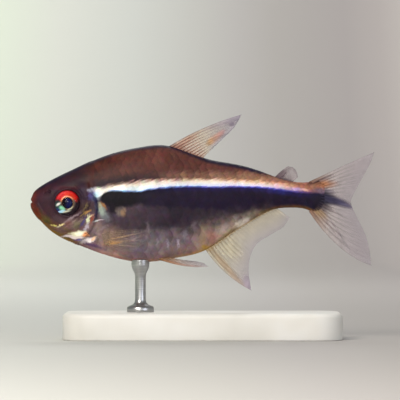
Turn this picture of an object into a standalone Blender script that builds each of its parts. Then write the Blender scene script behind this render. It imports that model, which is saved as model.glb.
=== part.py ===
"""Black neon tetra at life size, swimming level over a plain display stand.

Blender 4.5, +Z up. The fish faces -X, so its left side faces -Y. Every size below is in
millimetres in the fish's own frame: x runs back from the tip of the snout, y is across and
z is the height over the body axis. finish() scales each mesh to metres, and the empty
fish_axis carries the fish's parts at their height over the stand.
"""

import math
from bisect import bisect_right

import bmesh
import bpy
from mathutils import Matrix, Vector

MM = 0.001
GAP = 0.3  # left between parts that touch

# Length from the snout to the root of the tail fin, and to the tips of the tail fin.
STANDARD_LENGTH = 32.0
TOTAL_LENGTH = 38.35
LIP_REACH = 0.07  # how far the lower lip stands ahead of the snout
AXIS_X = (LIP_REACH - TOTAL_LENGTH) / 2  # where the snout stands, so that the fish is centred

# The side view: the line of the back and of the belly, as (x, z).
BACK_LINE = (
    (0.0, -0.35), (0.25, 0.74), (1.0, 1.47), (2.3, 2.25), (5.0, 3.57), (9.0, 5.24), (12.5, 6.02),
    (15.2, 6.13), (18.0, 5.2), (20.3, 4.5), (23.0, 4.02), (25.6, 3.28), (28.2, 2.35),
    (30.0, 2.04), (32.0, 2.26), (33.0, 2.5),
)
BELLY_LINE = (
    (0.0, -0.35), (0.25, -1.33), (1.0, -2.26), (2.3, -3.52), (5.0, -4.95), (9.0, -6.4),
    (13.0, -6.97), (16.5, -6.46), (19.5, -5.64), (22.0, -4.02), (25.3, -1.94), (27.2, -1.08),
    (29.0, -0.92), (30.6, -1.08), (32.0, -1.72), (33.0, -2.1),
)
# The view from above: half the body's width, and the height at which it is widest.
HALF_WIDTH = (
    (0.0, 0.0), (0.25, 0.72), (1.0, 1.25), (2.3, 1.7), (4.0, 2.05), (7.0, 2.4), (11.0, 2.55),
    (15.0, 2.4), (19.0, 1.95), (23.0, 1.4), (27.0, 0.95), (30.0, 0.68), (33.0, 0.5),
)
WIDEST_LEVEL = (
    (0.0, -0.35), (4.0, -0.3), (9.0, -0.35), (14.0, -0.3), (20.0, 0.3), (27.0, 0.75),
    (33.0, 0.3),
)
# How full each section is: 2 is an ellipse, less is a wedge, more is boxy.
BACK_FULLNESS = ((0.0, 2.1), (8.0, 2.1), (16.0, 1.95), (33.0, 2.0))
BELLY_FULLNESS = ((0.0, 2.2), (6.0, 2.1), (14.0, 2.1), (20.0, 1.75), (26.0, 1.8), (33.0, 2.0))

# The tail end swings a little to the fish's right, from SWAY_START back.
SWAY_START = 20.0
SWAY_AT_TAIL = 1.3

# Eye: a flattened ball set in the side of the head.
EYE_CENTRE = (4.12, 1.62, -0.32)
EYE_RADIUS = 1.47
EYE_HALF_DEPTH = 0.82
PUPIL_RADIUS = 0.62
PUPIL_RISE = 0.1

# Gill opening, as (z, x): the rear edge of the gill cover, and the nape above it.
GILL_EDGE = (
    (-5.6, 4.2), (-4.7, 5.25), (-3.6, 6.45), (-2.0, 7.25), (-0.8, 7.42), (0.3, 7.12),
    (1.2, 6.6), (2.6, 6.35), (5.0, 6.25),
)
GILL_COVER_RISE = 0.24
GILL_COVER_FRONT = 4.6

# Mouth: a steep line from the tip of the snout to its corner, as (x, z), with the thin bone
# of the upper jaw behind it.
MOUTH_TIP = (-0.12, 0.02)
MOUTH_CORNER = (1.08, -1.95)
MOUTH_OPEN = 0.2
LIP_RISE = 0.07
LIP_WIDTH = 0.26
MAXILLA_START = (0.55, -0.2)
MAXILLA_END = (1.7, -2.35)
MAXILLA_RISE = 0.1

# Nostrils, as (x, z, radius): the round front one and the larger rear one.
NOSTRILS = ((1.62, 0.78, 0.17), (2.08, 0.95, 0.22))

# Cheek: the bent edge of the bone in front of the gill cover, as an arc round the eye.
CHEEK_CENTRE = (3.5, -0.9)
CHEEK_RADIUS = 2.35
CHEEK_RISE = 0.1

# The body is parted here: trunk and tail meet between the dorsal and the anal fin.
TRUNK_END = 19.4

# Median fins: the base runs along the body from base_start to base_end, the tips of the
# rays lie on the margin, given from the first ray to the last as (x, z), and bow is how
# far a ray's middle swings towards the front.
DORSAL_BASE = (15.4, 19.15)
DORSAL_MARGIN = (
    (23.5, 9.52), (23.1, 8.75), (22.55, 7.95), (21.9, 7.3), (21.15, 6.6), (20.4, 5.95),
)
DORSAL_RAYS = 11
ANAL_BASE = (19.6, 27.3)
ANAL_MARGIN = (
    (24.6, -10.1), (24.35, -8.5), (24.35, -7.0), (24.75, -5.6), (25.5, -4.65), (26.4, -4.1),
    (27.2, -3.6), (28.1, -3.05), (28.85, -1.95),
)
ANAL_RAYS = 26
ADIPOSE_BASE = (27.3, 28.9)
ADIPOSE_MARGIN = ((28.7, 3.75), (29.25, 3.62), (29.65, 3.15), (29.75, 2.65))
ADIPOSE_RIBS = 3

# Tail fin: each lobe from its outer ray to the short ones beside the fork.
CAUDAL_ROOT_X = STANDARD_LENGTH + GAP
UPPER_LOBE_ROOT = (2.1, 0.42)
UPPER_LOBE_MARGIN = (
    (38.3, 5.35), (37.98, 4.3), (37.35, 3.05), (36.68, 1.85), (36.1, 0.78), (35.76, -0.05),
)
UPPER_LOBE_RAYS = 10
LOWER_LOBE_ROOT = (-1.6, 0.12)
LOWER_LOBE_MARGIN = (
    (38.0, -7.35), (37.82, -5.6), (37.4, -4.0), (36.8, -2.68), (36.15, -1.4), (35.76, -0.5),
)
LOWER_LOBE_RAYS = 9

# Paired fins, for the side at positive y; the other side mirrors them. Roots are given as
# (x, z) on the flank, margins as (x, y, z).
PECTORAL_ROOT = ((7.95, -3.75), (8.35, -4.75))
PECTORAL_MARGIN = (
    (13.5, 3.95, -3.35), (13.1, 4.1, -4.15), (12.6, 4.15, -4.85), (11.9, 4.05, -5.5),
    (11.0, 3.75, -6.0),
)
PECTORAL_RAYS = 10
PELVIC_ROOT = ((14.2, 0.62), (15.2, 0.47))
PELVIC_MARGIN = (
    (19.75, 1.25, -7.4), (19.3, 1.12, -7.08), (18.6, 0.92, -6.9), (17.7, 0.72, -6.82),
)
PELVIC_RAYS = 7

# Paired fins start this far under the skin before they are cut clear of it.
ROOT_SINK = 0.15

# Thickness of a fin: at its root, over its membrane and at its edge, and how far each ray
# stands out of either face.
FIN_ROOT = 0.72
FIN_MEMBRANE = 0.5
FIN_EDGE = 0.28
RAY_RISE = 0.09
RAY_HALF_WIDTH = 0.3  # as a share of the space from one ray to the next

# Stand: a flat base with rounded corners, and one rod under the middle of the body, whose
# cupped head follows the belly.
BASE_LENGTH = 31.0
BASE_WIDTH = 15.0
BASE_THICKNESS = 3.0
BASE_CORNER = 3.5
BASE_EDGE = 0.5
ANAL_TIP_CLEARANCE = 2.4
AXIS_HEIGHT = BASE_THICKNESS + ANAL_TIP_CLEARANCE - ANAL_MARGIN[0][1]
ROD_X = 12.2
ROD_RADIUS = 0.6
ROD_COLLAR_RADIUS = 1.5
ROD_COLLAR_HEIGHT = 0.7
ROD_HEAD_RADIUS = 1.0
ROD_HEAD_DEPTH = 0.75
ROD_HEAD_RISE = 0.5
ROD_SIDES = 20

# How finely the curved forms are faceted.
HEAD_SEGMENTS = 66
HEAD_RINGS = 84
BODY_SEGMENTS = 40
BODY_RINGS = 54
EYE_SEGMENTS = 20
EYE_RINGS = 14
FIN_ROWS = 6
PAIRED_FIN_ROWS = 5
SMOOTH_ANGLE = math.radians(40)


def smooth_line(points, warp=float):
    """A natural cubic spline through the points, as a function of their first number."""
    at = [warp(p[0]) for p in points]
    value = [p[1] for p in points]
    last = len(points) - 1
    bend = [0.0] * (last + 1)
    carry = [0.0] * (last + 1)
    for i in range(1, last):
        before = at[i] - at[i - 1]
        after = at[i + 1] - at[i]
        change = (value[i + 1] - value[i]) / after - (value[i] - value[i - 1]) / before
        pivot = 2 * (before + after) - before * carry[i - 1]
        carry[i] = after / pivot
        bend[i] = (6 * change - before * bend[i - 1]) / pivot
    for i in range(last - 1, 0, -1):
        bend[i] -= carry[i] * bend[i + 1]

    def line(x):
        u = warp(x)
        i = min(max(bisect_right(at, u) - 1, 0), last - 1)
        step = at[i + 1] - at[i]
        b = (u - at[i]) / step
        a = 1 - b
        curve = ((a**3 - a) * bend[i] + (b**3 - b) * bend[i + 1]) * step**2 / 6
        return a * value[i] + b * value[i + 1] + curve

    return line


def from_snout(x):
    """Spreads out the blunt snout, so that a spline can turn upright at its tip."""
    return math.sqrt(max(x, 0.0))


back = smooth_line(BACK_LINE, from_snout)
belly = smooth_line(BELLY_LINE, from_snout)
half_width = smooth_line(HALF_WIDTH, from_snout)
widest_level = smooth_line(WIDEST_LEVEL)
back_fullness = smooth_line(BACK_FULLNESS)
belly_fullness = smooth_line(BELLY_FULLNESS)
gill_edge = smooth_line(GILL_EDGE)


def smooth_step(low, high, x):
    t = min(max((x - low) / (high - low), 0.0), 1.0)
    return t * t * (3 - 2 * t)


def section_point(x, angle):
    """The body's surface at x, angle round from the right side's widest level upwards."""
    level = widest_level(x)
    side, height = math.cos(angle), math.sin(angle)
    reach, fullness = (
        (back(x) - level, back_fullness(x)) if height > 0 else (level - belly(x), belly_fullness(x))
    )
    power = 2 / fullness
    return Vector((
        x,
        math.copysign(half_width(x) * abs(side) ** power, side),
        level + math.copysign(reach * abs(height) ** power, height),
    ))


def flank(x, z):
    """Half the body's width at x and height z."""
    level = widest_level(x)
    reach, fullness = (
        (back(x) - level, back_fullness(x)) if z > level else (level - belly(x), belly_fullness(x))
    )
    share = min(abs(z - level) / reach, 1.0)
    return half_width(x) * (1 - share**fullness) ** (1 / fullness)


def sway(x):
    """How far the tail end is swung sideways at x."""
    t = max(x - SWAY_START, 0.0) / (TOTAL_LENGTH - SWAY_START)
    return SWAY_AT_TAIL * t * t


def ridge(distance, width):
    """A rounded ridge's share of its full height, at a distance from its crest."""
    return math.exp(-((distance / width) ** 2))


def from_segment(x, z, start, end):
    """Distance in the side view from a straight line between two points."""
    along = Vector(end) - Vector(start)
    offset = Vector((x, z)) - Vector(start)
    t = min(max(offset.dot(along) / along.length_squared, 0.0), 1.0)
    return (offset - t * along).length


def head_relief(x, y, z):
    """How far the forms of the head stand out of the plain body there."""
    side = smooth_step(0.15, 0.6, abs(y))
    lips = LIP_RISE * ridge(from_segment(x, z, MOUTH_TIP, MOUTH_CORNER), LIP_WIDTH)
    maxilla = MAXILLA_RISE * ridge(from_segment(x, z, MAXILLA_START, MAXILLA_END), 0.2)
    cover = GILL_COVER_RISE * smooth_step(GILL_COVER_FRONT, GILL_COVER_FRONT + 1.3, x)
    cover *= 1 - smooth_step(0.9, 2.2, z)
    turn_x, turn_z = x - CHEEK_CENTRE[0], z - CHEEK_CENTRE[1]
    behind_and_below = smooth_step(-0.3, 0.4, turn_x - 0.55 * turn_z)
    cheek = CHEEK_RISE * ridge(math.hypot(turn_x, turn_z) - CHEEK_RADIUS, 0.26)
    brow = math.hypot(x - EYE_CENTRE[0], z - EYE_CENTRE[2]) - EYE_RADIUS - GAP
    rim = 0.1 * ridge(brow, 0.25)
    return lips + side * (maxilla + cover + cheek * behind_and_below + rim)


def object_of(name, bm):
    """A mesh object from a bmesh in millimetres."""
    mesh = bpy.data.meshes.new(name)
    bm.to_mesh(mesh)
    bm.free()
    obj = bpy.data.objects.new(name, mesh)
    bpy.context.scene.collection.objects.link(obj)
    return obj


def finish(obj, origin, parent, material):
    """Scales a part to metres, sets its origin at its root and hangs it on its parent."""
    root = Vector(origin)
    obj.data.transform(Matrix.Scale(MM, 4) @ Matrix.Translation(-root))
    obj.location = root * MM
    obj.parent = parent
    obj.data.shade_smooth()
    obj.data.set_sharp_from_angle(angle=SMOOTH_ANGLE)
    obj.data.materials.clear()
    obj.data.materials.append(material)
    return obj


def apply_modifiers(obj):
    """Replaces the object's mesh with its evaluated one."""
    graph = bpy.context.evaluated_depsgraph_get()
    graph.update()
    plain = bpy.data.meshes.new_from_object(obj.evaluated_get(graph))
    obj.modifiers.clear()
    obj.data = plain


def cut(obj, cutter, operation="DIFFERENCE", solver="EXACT"):
    """Cuts obj with a closed cutter, which is then removed."""
    modifier = obj.modifiers.new("cut", "BOOLEAN")
    modifier.operation = operation
    modifier.solver = solver
    modifier.object = cutter
    apply_modifiers(obj)
    bpy.data.objects.remove(cutter)


# The finish of each part: its colour (linear), roughness and metallic value.
FINISHES = {
    "head_skin": ((0.075, 0.035, 0.038), 0.3, 0.1),
    "trunk_skin": ((0.09, 0.05, 0.045), 0.3, 0.15),
    "tail_skin": ((0.13, 0.07, 0.05), 0.3, 0.15),
    "eye": ((0.45, 0.04, 0.03), 0.12, 0.0),
    "clear_fin": ((0.42, 0.36, 0.33), 0.4, 0.0),
    "stand_base": ((0.34, 0.34, 0.33), 0.45, 0.0),
    "stand_rod": ((0.55, 0.55, 0.56), 0.3, 1.0),
}


def make_material(name):
    material = bpy.data.materials.new(name)
    material.use_nodes = True
    shader = material.node_tree.nodes["Principled BSDF"]
    color, roughness, metallic = FINISHES[name]
    shader.inputs["Base Color"].default_value = (*color, 1.0)
    shader.inputs["Roughness"].default_value = roughness
    shader.inputs["Metallic"].default_value = metallic
    return material


def body_form(segments, rings, relief=None):
    """The whole body: a ball whose rings are drawn out to the body's sections."""
    bm = bmesh.new()
    bmesh.ops.create_uvsphere(bm, u_segments=segments, v_segments=rings, radius=1.0)
    end = BACK_LINE[-1][0]
    head_share = 0.25
    for vert in bm.verts:
        share = math.acos(min(max(vert.co.z, -1.0), 1.0)) / math.pi
        x = end * share * share * (1 + head_share) / (share + head_share)
        at_pole = abs(vert.co.z) > 1 - 1e-6
        if at_pole:
            vert.co = Vector((x, 0.0, widest_level(x)))
        else:
            vert.co = section_point(x, math.atan2(vert.co.y, vert.co.x))
    bmesh.ops.recalc_face_normals(bm, faces=bm.faces)
    bm.normal_update()
    if relief:
        rise = {v: v.normal * relief(*v.co) for v in bm.verts}
        for vert, offset in rise.items():
            vert.co += offset
    for vert in bm.verts:
        vert.co.y += sway(vert.co.x)
    return bm


def keep_between(bm, front, rear):
    """Keeps the slice of a closed body between two upright planes."""
    for x, outwards in ((front, -1), (rear, 1)):
        if x is None:
            continue
        everything = bm.verts[:] + bm.edges[:] + bm.faces[:]
        cut_line = bmesh.ops.bisect_plane(
            bm, geom=everything, plane_co=(x, 0, 0), plane_no=(outwards, 0, 0), clear_outer=True
        )["geom_cut"]
        edges = [e for e in cut_line if isinstance(e, bmesh.types.BMEdge)]
        bmesh.ops.holes_fill(bm, edges=edges)


def side_block(outline, name):
    """A cutter: an outline in the side view, as (x, z), carried right across the body."""
    bm = bmesh.new()
    reach = 8.0
    face = bm.faces.new([bm.verts.new((x, -reach, z)) for x, z in outline])
    pushed = bmesh.ops.extrude_face_region(bm, geom=[face])["geom"]
    moved = [v for v in pushed if isinstance(v, bmesh.types.BMVert)]
    bmesh.ops.translate(bm, verts=moved, vec=(0, 2 * reach, 0))
    bmesh.ops.recalc_face_normals(bm, faces=bm.faces)
    return object_of(name, bm)


def body_with_gap():
    """A cutter that clears the body by the gap that touching parts keep."""
    bm = body_form(BODY_SEGMENTS, BODY_RINGS, lambda x, y, z: GAP)
    return object_of("body_with_gap", bm)


def gill_block(offset):
    """Everything ahead of the gill opening, moved back by offset."""
    low, high = GILL_EDGE[0][0], GILL_EDGE[-1][0]
    steps = 22
    levels = [low + (high - low) * i / steps for i in range(steps + 1)]
    far = -4.0
    outline = [(gill_edge(z) + offset, z) for z in levels]
    outline[0] = (outline[0][0], -12.0)
    outline[-1] = (outline[-1][0], 12.0)
    return side_block([(far, -12.0), *outline, (far, 12.0)], "gill_block")


def ball(name, centre, radii, segments, rings):
    bm = bmesh.new()
    bmesh.ops.create_uvsphere(bm, u_segments=segments, v_segments=rings, radius=1.0)
    bmesh.ops.rotate(bm, verts=bm.verts, matrix=Matrix.Rotation(math.pi / 2, 3, "X"))
    bmesh.ops.scale(bm, verts=bm.verts, vec=radii)
    bmesh.ops.translate(bm, verts=bm.verts, vec=centre)
    return object_of(name, bm)


def mouth_slit():
    """A thin wedge from in front of the snout back to the corner of the mouth."""
    tip, corner = Vector(MOUTH_TIP), Vector(MOUTH_CORNER)
    along = (corner - tip).normalized()
    across = Vector((-along.y, along.x))
    front = tip - along * 1.0
    wide = across * MOUTH_OPEN / 2
    return side_block(
        [tuple(front + 1.6 * wide), tuple(tip + wide), tuple(corner + wide * 0.35),
         tuple(corner - wide * 0.35), tuple(tip - wide), tuple(front - 1.6 * wide)],
        "mouth_slit",
    )


def make_head(parent, material):
    """Head with its gill covers, eye sockets, mouth and nostrils."""
    bm = body_form(HEAD_SEGMENTS, HEAD_RINGS, head_relief)
    keep_between(bm, None, 9.0)
    head = object_of("head", bm)
    cut(head, gill_block(0.0), "INTERSECT")
    cut(head, mouth_slit())
    for side in (-1, 1):
        x, y, z = EYE_CENTRE
        radii = (EYE_RADIUS + GAP, EYE_HALF_DEPTH + GAP, EYE_RADIUS + GAP)
        cut(head, ball("socket", (x, side * y, z), radii, EYE_SEGMENTS, EYE_RINGS))
        for nx, nz, radius in NOSTRILS:
            place = (nx, side * flank(nx, nz), nz)
            cut(head, ball("nostril", place, (radius, 0.3, radius), 10, 6))
    return finish(head, (gill_edge(0.0), 0, 0), parent, material)


def make_trunk(parent, material):
    """The body from the gill opening to the vent."""
    bm = body_form(BODY_SEGMENTS, BODY_RINGS)
    keep_between(bm, None, TRUNK_END)
    trunk = object_of("trunk", bm)
    cut(trunk, gill_block(GAP))
    return finish(trunk, (gill_edge(0.0) + GAP, 0, 0), parent, material)


def make_tail(parent, material):
    """The body over the anal fin, and the narrow stalk of the tail."""
    bm = body_form(BODY_SEGMENTS, BODY_RINGS)
    front = TRUNK_END + GAP
    keep_between(bm, front, STANDARD_LENGTH)
    return finish(object_of("tail", bm), (front, 0, 0), parent, material)


def make_eye(side, parent, material):
    """Eyeball with the lens standing a little out of the iris."""
    name = "eye_left" if side < 0 else "eye_right"
    radii = (EYE_RADIUS, EYE_HALF_DEPTH, EYE_RADIUS)
    x, y, z = EYE_CENTRE
    eye = ball(name, (x, side * y, z), radii, EYE_SEGMENTS, EYE_RINGS)
    for vert in eye.data.vertices:
        out = side * (vert.co.y - side * y) > 0
        pupil = 1 - smooth_step(0.75, 1.15, math.hypot(vert.co.x - x, vert.co.z - z) / PUPIL_RADIUS)
        if out:
            vert.co.y += side * PUPIL_RISE * pupil
    return finish(eye, (x, side * y, z), parent, material)


def margin_of(points):
    """The fin's free edge as a function of the share of the way from first ray to last."""
    last = len(points) - 1
    axes = [smooth_line([(i / last, p[axis]) for i, p in enumerate(points)]) for axis in range(3)]
    return lambda share: Vector([axis(share) for axis in axes])


def fin_form(root, margin, bow, rays, rows=FIN_ROWS, root_thickness=FIN_ROOT, rise=RAY_RISE):
    """A fin as one closed sheet, its rays raised in both faces.

    root and margin give the two ends of the ray at a share of the way along the fin, and
    bow gives the swing of its middle. Columns run up each ray's crest and down
    both of its flanks, and both faces are split into triangles the same way.
    """
    spacing = 1 / (rays - 1)
    foot = RAY_HALF_WIDTH * spacing
    columns = [(i * spacing + side * foot, side == 0) for i in range(rays) for side in (-1, 0, 1)]
    columns = columns[1:-1]

    def middle(share, reach):
        start, end = root(share), margin(share)
        return start.lerp(end, reach) + bow(share) * 4 * reach * (1 - reach)

    def across(share, reach):
        small = 1e-3
        low, high = max(reach - small, 0.0), min(reach + small, 1.0)
        first, last = max(share - small, 0.0), min(share + small, 1.0)
        up = middle(share, high) - middle(share, low)
        along = middle(last, reach) - middle(first, reach)
        return along.cross(up).normalized()

    bm = bmesh.new()
    faces = {1: [], -1: []}
    for share, crest in columns:
        lines = {1: [], -1: []}
        for row in range(rows + 1):
            reach = row / rows
            plain = root_thickness + (FIN_MEMBRANE - root_thickness) * smooth_step(0, 0.25, reach)
            plain += (FIN_EDGE - FIN_MEMBRANE) * smooth_step(0.6, 1.0, reach)
            faded = smooth_step(0, 0.2, reach) * (1 - smooth_step(0.85, 1, reach))
            half = plain / 2 + crest * rise * faded
            centre, normal = middle(share, reach), across(share, reach)
            for face in (1, -1):
                point = centre + normal * face * half
                point.y += sway(point.x)
                lines[face].append(bm.verts.new(point))
        for face in (1, -1):
            faces[face].append(lines[face])

    def triangles(a, b, c, d):
        bm.faces.new((a, b, c))
        bm.faces.new((a, c, d))

    for i in range(len(columns) - 1):
        for row in range(rows):
            one, other = faces[1], faces[-1]
            triangles(one[i][row], one[i + 1][row], one[i + 1][row + 1], one[i][row + 1])
            far = (other[i][row], other[i + 1][row], other[i + 1][row + 1], other[i][row + 1])
            bm.faces.new((far[2], far[1], far[0]))
            bm.faces.new((far[3], far[2], far[0]))
    for i in range(len(columns) - 1):
        for row in (0, rows):
            triangles(faces[1][i][row], faces[-1][i][row], faces[-1][i + 1][row], faces[1][i + 1][row])
    for row in range(rows):
        for i in (0, len(columns) - 1):
            triangles(
                faces[1][i][row], faces[1][i][row + 1], faces[-1][i][row + 1], faces[-1][i][row]
            )
    bmesh.ops.recalc_face_normals(bm, faces=bm.faces)
    if bm.calc_volume(signed=True) < 0:
        bmesh.ops.reverse_faces(bm, faces=bm.faces)
    return bm


def median_fin(name, base, margin, bow, rays, edge, parent, material, rise=RAY_RISE):
    """A fin on the midline: its root follows the back (edge 1) or the belly (edge -1)."""
    start, end = base
    line = back if edge > 0 else belly

    def root(share):
        x = start + (end - start) * share
        return Vector((x, 0.0, line(x) + edge * GAP))

    free_edge = margin_of([(x, 0.0, z) for x, z in margin])
    bm = fin_form(root, free_edge, bow, rays, rise=rise)
    return finish(object_of(name, bm), root(0), parent, material)


def caudal_lobe(name, root_levels, margin, rays, bow, parent, material):
    """One lobe of the tail fin, from its outer ray in to the fork."""
    outer, inner = root_levels

    def root(share):
        return Vector((CAUDAL_ROOT_X, 0.0, outer + (inner - outer) * share))

    free_edge = margin_of([(x, 0.0, z) for x, z in margin])
    bm = fin_form(root, free_edge, bow, rays, root_thickness=0.95)
    return finish(object_of(name, bm), root(0.5), parent, material)


def paired_fin(name, side, root, margin, bow, rays, parent, material):
    """A fin of a pair; side is 1 for the fish's right and -1 for its left."""
    mirrored = Vector((1, side, 1))

    def own_root(share):
        return root(share) * mirrored

    plain_edge = margin_of(margin)
    bm = fin_form(
        own_root,
        lambda share: plain_edge(share) * mirrored,
        lambda share: bow(share) * mirrored,
        rays,
        rows=PAIRED_FIN_ROWS,
        root_thickness=FIN_MEMBRANE,
    )
    fin = object_of(name, bm)
    # The pelvic fin lies almost along the belly, where the exact solver drops the whole fin.
    cut(fin, body_with_gap(), solver="MANIFOLD")
    return finish(fin, own_root(0.5), parent, material)


def pectoral_root(share):
    (x0, z0), (x1, z1) = PECTORAL_ROOT
    x, z = x0 + (x1 - x0) * share, z0 + (z1 - z0) * share
    return Vector((x, flank(x, z) - ROOT_SINK, z))


def pelvic_root(share):
    (x0, y0), (x1, y1) = PELVIC_ROOT
    x, y = x0 + (x1 - x0) * share, y0 + (y1 - y0) * share
    depth = widest_level(x) - belly(x)
    level = (1 - (y / half_width(x)) ** belly_fullness(x)) ** (1 / belly_fullness(x))
    return Vector((x, y, widest_level(x) - depth * level + ROOT_SINK))


def make_stand(base_material, rod_material):
    """Flat base with rounded corners, and a turned rod with a collar and a cupped head."""
    bm = bmesh.new()
    bmesh.ops.create_cube(bm, size=1.0)
    bmesh.ops.scale(bm, verts=bm.verts, vec=(BASE_LENGTH, BASE_WIDTH, BASE_THICKNESS))
    upright = [e for e in bm.edges if abs(e.verts[0].co.z - e.verts[1].co.z) > 1]
    bmesh.ops.bevel(bm, geom=upright, offset=BASE_CORNER, segments=6, profile=0.5, affect="EDGES")
    rim = [e for e in bm.edges if all(v.co.z > BASE_THICKNESS / 2 - 0.01 for v in e.verts)]
    bmesh.ops.bevel(bm, geom=rim, offset=BASE_EDGE, segments=2, profile=0.5, affect="EDGES")
    bmesh.ops.translate(bm, verts=bm.verts, vec=(0, 0, BASE_THICKNESS / 2))
    finish(object_of("stand_base", bm), (0, 0, 0), None, base_material)

    foot = BASE_THICKNESS + GAP
    top = AXIS_HEIGHT + belly(ROD_X) + ROD_HEAD_RISE
    head = top - ROD_HEAD_RISE - GAP - ROD_HEAD_DEPTH
    profile = [
        (0.0, foot), (ROD_COLLAR_RADIUS, foot), (ROD_COLLAR_RADIUS, foot + 0.35),
        (ROD_RADIUS, foot + ROD_COLLAR_HEIGHT), (ROD_RADIUS, head),
        (ROD_HEAD_RADIUS, head + ROD_HEAD_DEPTH / 2), (ROD_HEAD_RADIUS, top), (0.0, top),
    ]
    bm = bmesh.new()
    verts = [bm.verts.new((radius, 0, z)) for radius, z in profile]
    edges = [bm.edges.new(pair) for pair in zip(verts, verts[1:])]
    bmesh.ops.spin(
        bm, geom=verts + edges, cent=(0, 0, 0), axis=(0, 0, 1), angle=math.tau,
        steps=ROD_SIDES, use_merge=True,
    )
    bmesh.ops.remove_doubles(bm, verts=bm.verts, dist=1e-4)
    bmesh.ops.recalc_face_normals(bm, faces=bm.faces)
    bmesh.ops.translate(bm, verts=bm.verts, vec=(ROD_X, 0, -AXIS_HEIGHT))
    rod = object_of("stand_rod", bm)
    cut(rod, body_with_gap())
    rod_x = ROD_X + AXIS_X
    rod.data.transform(Matrix.Translation((AXIS_X, 0, AXIS_HEIGHT)))
    finish(rod, (rod_x, 0, foot), None, rod_material)


def build():
    for obj in list(bpy.data.objects):
        bpy.data.objects.remove(obj)
    looks = {name: make_material(name) for name in FINISHES}
    fish = bpy.data.objects.new("fish_axis", None)
    fish.location = (AXIS_X * MM, 0, AXIS_HEIGHT * MM)
    bpy.context.scene.collection.objects.link(fish)
    fin = looks["clear_fin"]
    make_head(fish, looks["head_skin"])
    make_trunk(fish, looks["trunk_skin"])
    make_tail(fish, looks["tail_skin"])
    for side in (-1, 1):
        make_eye(side, fish, looks["eye"])
    median_fin(
        "fin_dorsal", DORSAL_BASE, DORSAL_MARGIN, lambda s: Vector((-0.12, 0, 0.3)) * (1 - s),
        DORSAL_RAYS, 1, fish, fin,
    )
    median_fin(
        "fin_anal", ANAL_BASE, ANAL_MARGIN,
        lambda s: Vector((-0.32, 0.1, -0.34)) * max(1 - 2.2 * s, 0.0), ANAL_RAYS, -1, fish, fin,
    )
    median_fin(
        "fin_adipose", ADIPOSE_BASE, ADIPOSE_MARGIN, lambda s: Vector((0, 0, 0.12)) * (1 - s),
        ADIPOSE_RIBS, 1, fish, fin, rise=0.0,
    )
    caudal_lobe(
        "fin_caudal_upper", UPPER_LOBE_ROOT, UPPER_LOBE_MARGIN, UPPER_LOBE_RAYS,
        lambda s: Vector((0, 0.15, 0.05)) * (1 - s), fish, fin,
    )
    caudal_lobe(
        "fin_caudal_lower", LOWER_LOBE_ROOT, LOWER_LOBE_MARGIN, LOWER_LOBE_RAYS,
        lambda s: Vector((-0.15, -0.1, -0.9)) * (1 - s), fish, fin,
    )
    for side, word in ((-1, "left"), (1, "right")):
        paired_fin(
            f"fin_pectoral_{word}", side, pectoral_root, PECTORAL_MARGIN,
            lambda s: Vector((0, 0.15, 0.25 - 0.5 * s)), PECTORAL_RAYS, fish, fin,
        )
        paired_fin(
            f"fin_pelvic_{word}", side, pelvic_root, PELVIC_MARGIN,
            lambda s: Vector((0, 0.1, -0.35)) * (1 - s), PELVIC_RAYS, fish, fin,
        )
    make_stand(looks["stand_base"], looks["stand_rod"])


build()
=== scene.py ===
import math

import bmesh
import bpy
import numpy as np
from mathutils import Matrix, Vector


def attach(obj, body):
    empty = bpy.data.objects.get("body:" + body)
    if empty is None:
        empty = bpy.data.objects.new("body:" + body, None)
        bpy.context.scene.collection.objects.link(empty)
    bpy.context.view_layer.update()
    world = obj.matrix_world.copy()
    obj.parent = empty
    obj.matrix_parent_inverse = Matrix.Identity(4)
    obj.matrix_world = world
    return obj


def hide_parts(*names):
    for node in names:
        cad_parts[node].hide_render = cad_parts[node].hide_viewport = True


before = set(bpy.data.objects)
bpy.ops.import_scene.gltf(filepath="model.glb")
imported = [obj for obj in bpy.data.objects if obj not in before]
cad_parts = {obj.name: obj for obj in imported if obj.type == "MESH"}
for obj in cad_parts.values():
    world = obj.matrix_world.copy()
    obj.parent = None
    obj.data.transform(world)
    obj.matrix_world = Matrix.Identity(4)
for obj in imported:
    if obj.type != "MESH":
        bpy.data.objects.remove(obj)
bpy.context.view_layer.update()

rng = np.random.default_rng(7)


# Skin of the body. One unbroken skin runs from the lips to the root of the tail fin, bare
# and bony over the head, and a scale's depth lower where the scales lie on it.
# It is drawn over a ball: each ring of the ball becomes one cross-section of the fish.
# The fish's sizes are millimetres in its own frame: x back from the snout, z up from its axis.
MM = 0.001
SNOUT_X = -19.14
TOTAL_LENGTH = 38.35
AXIS_HEIGHT = 15.5
BODY_END_X = 32.75
SCALE_DEPTH = 0.07
SWAY_START = 20.0
SWAY_AT_TAIL = 1.3
TAIL_ROOT_WIDTH = 0.2  # what is left of the flesh at the root of the tail fin, as shares
TAIL_ROOT_HEIGHT = 0.7

BACK_LINE = (
    (0.0, -0.35), (0.25, 0.74), (1.0, 1.47), (2.3, 2.25), (5.0, 3.57), (9.0, 5.24), (12.5, 6.02),
    (15.2, 6.13), (18.0, 5.2), (20.3, 4.5), (23.0, 4.02), (25.6, 3.28), (28.2, 2.35),
    (30.0, 2.04), (32.0, 2.26), (33.0, 2.5),
)
BELLY_LINE = (
    (0.0, -0.35), (0.25, -1.33), (1.0, -2.26), (2.3, -3.52), (5.0, -4.95), (9.0, -6.4),
    (13.0, -6.97), (16.5, -6.46), (19.5, -5.64), (22.0, -4.02), (25.3, -1.94), (27.2, -1.08),
    (29.0, -0.92), (30.6, -1.08), (32.0, -1.72), (33.0, -2.1),
)
HALF_WIDTH = (
    (0.0, 0.0), (0.25, 0.72), (1.0, 1.25), (2.3, 1.7), (4.0, 2.05), (7.0, 2.4), (11.0, 2.55),
    (15.0, 2.4), (19.0, 1.95), (23.0, 1.4), (27.0, 0.95), (30.0, 0.68), (33.0, 0.5),
)
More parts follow.
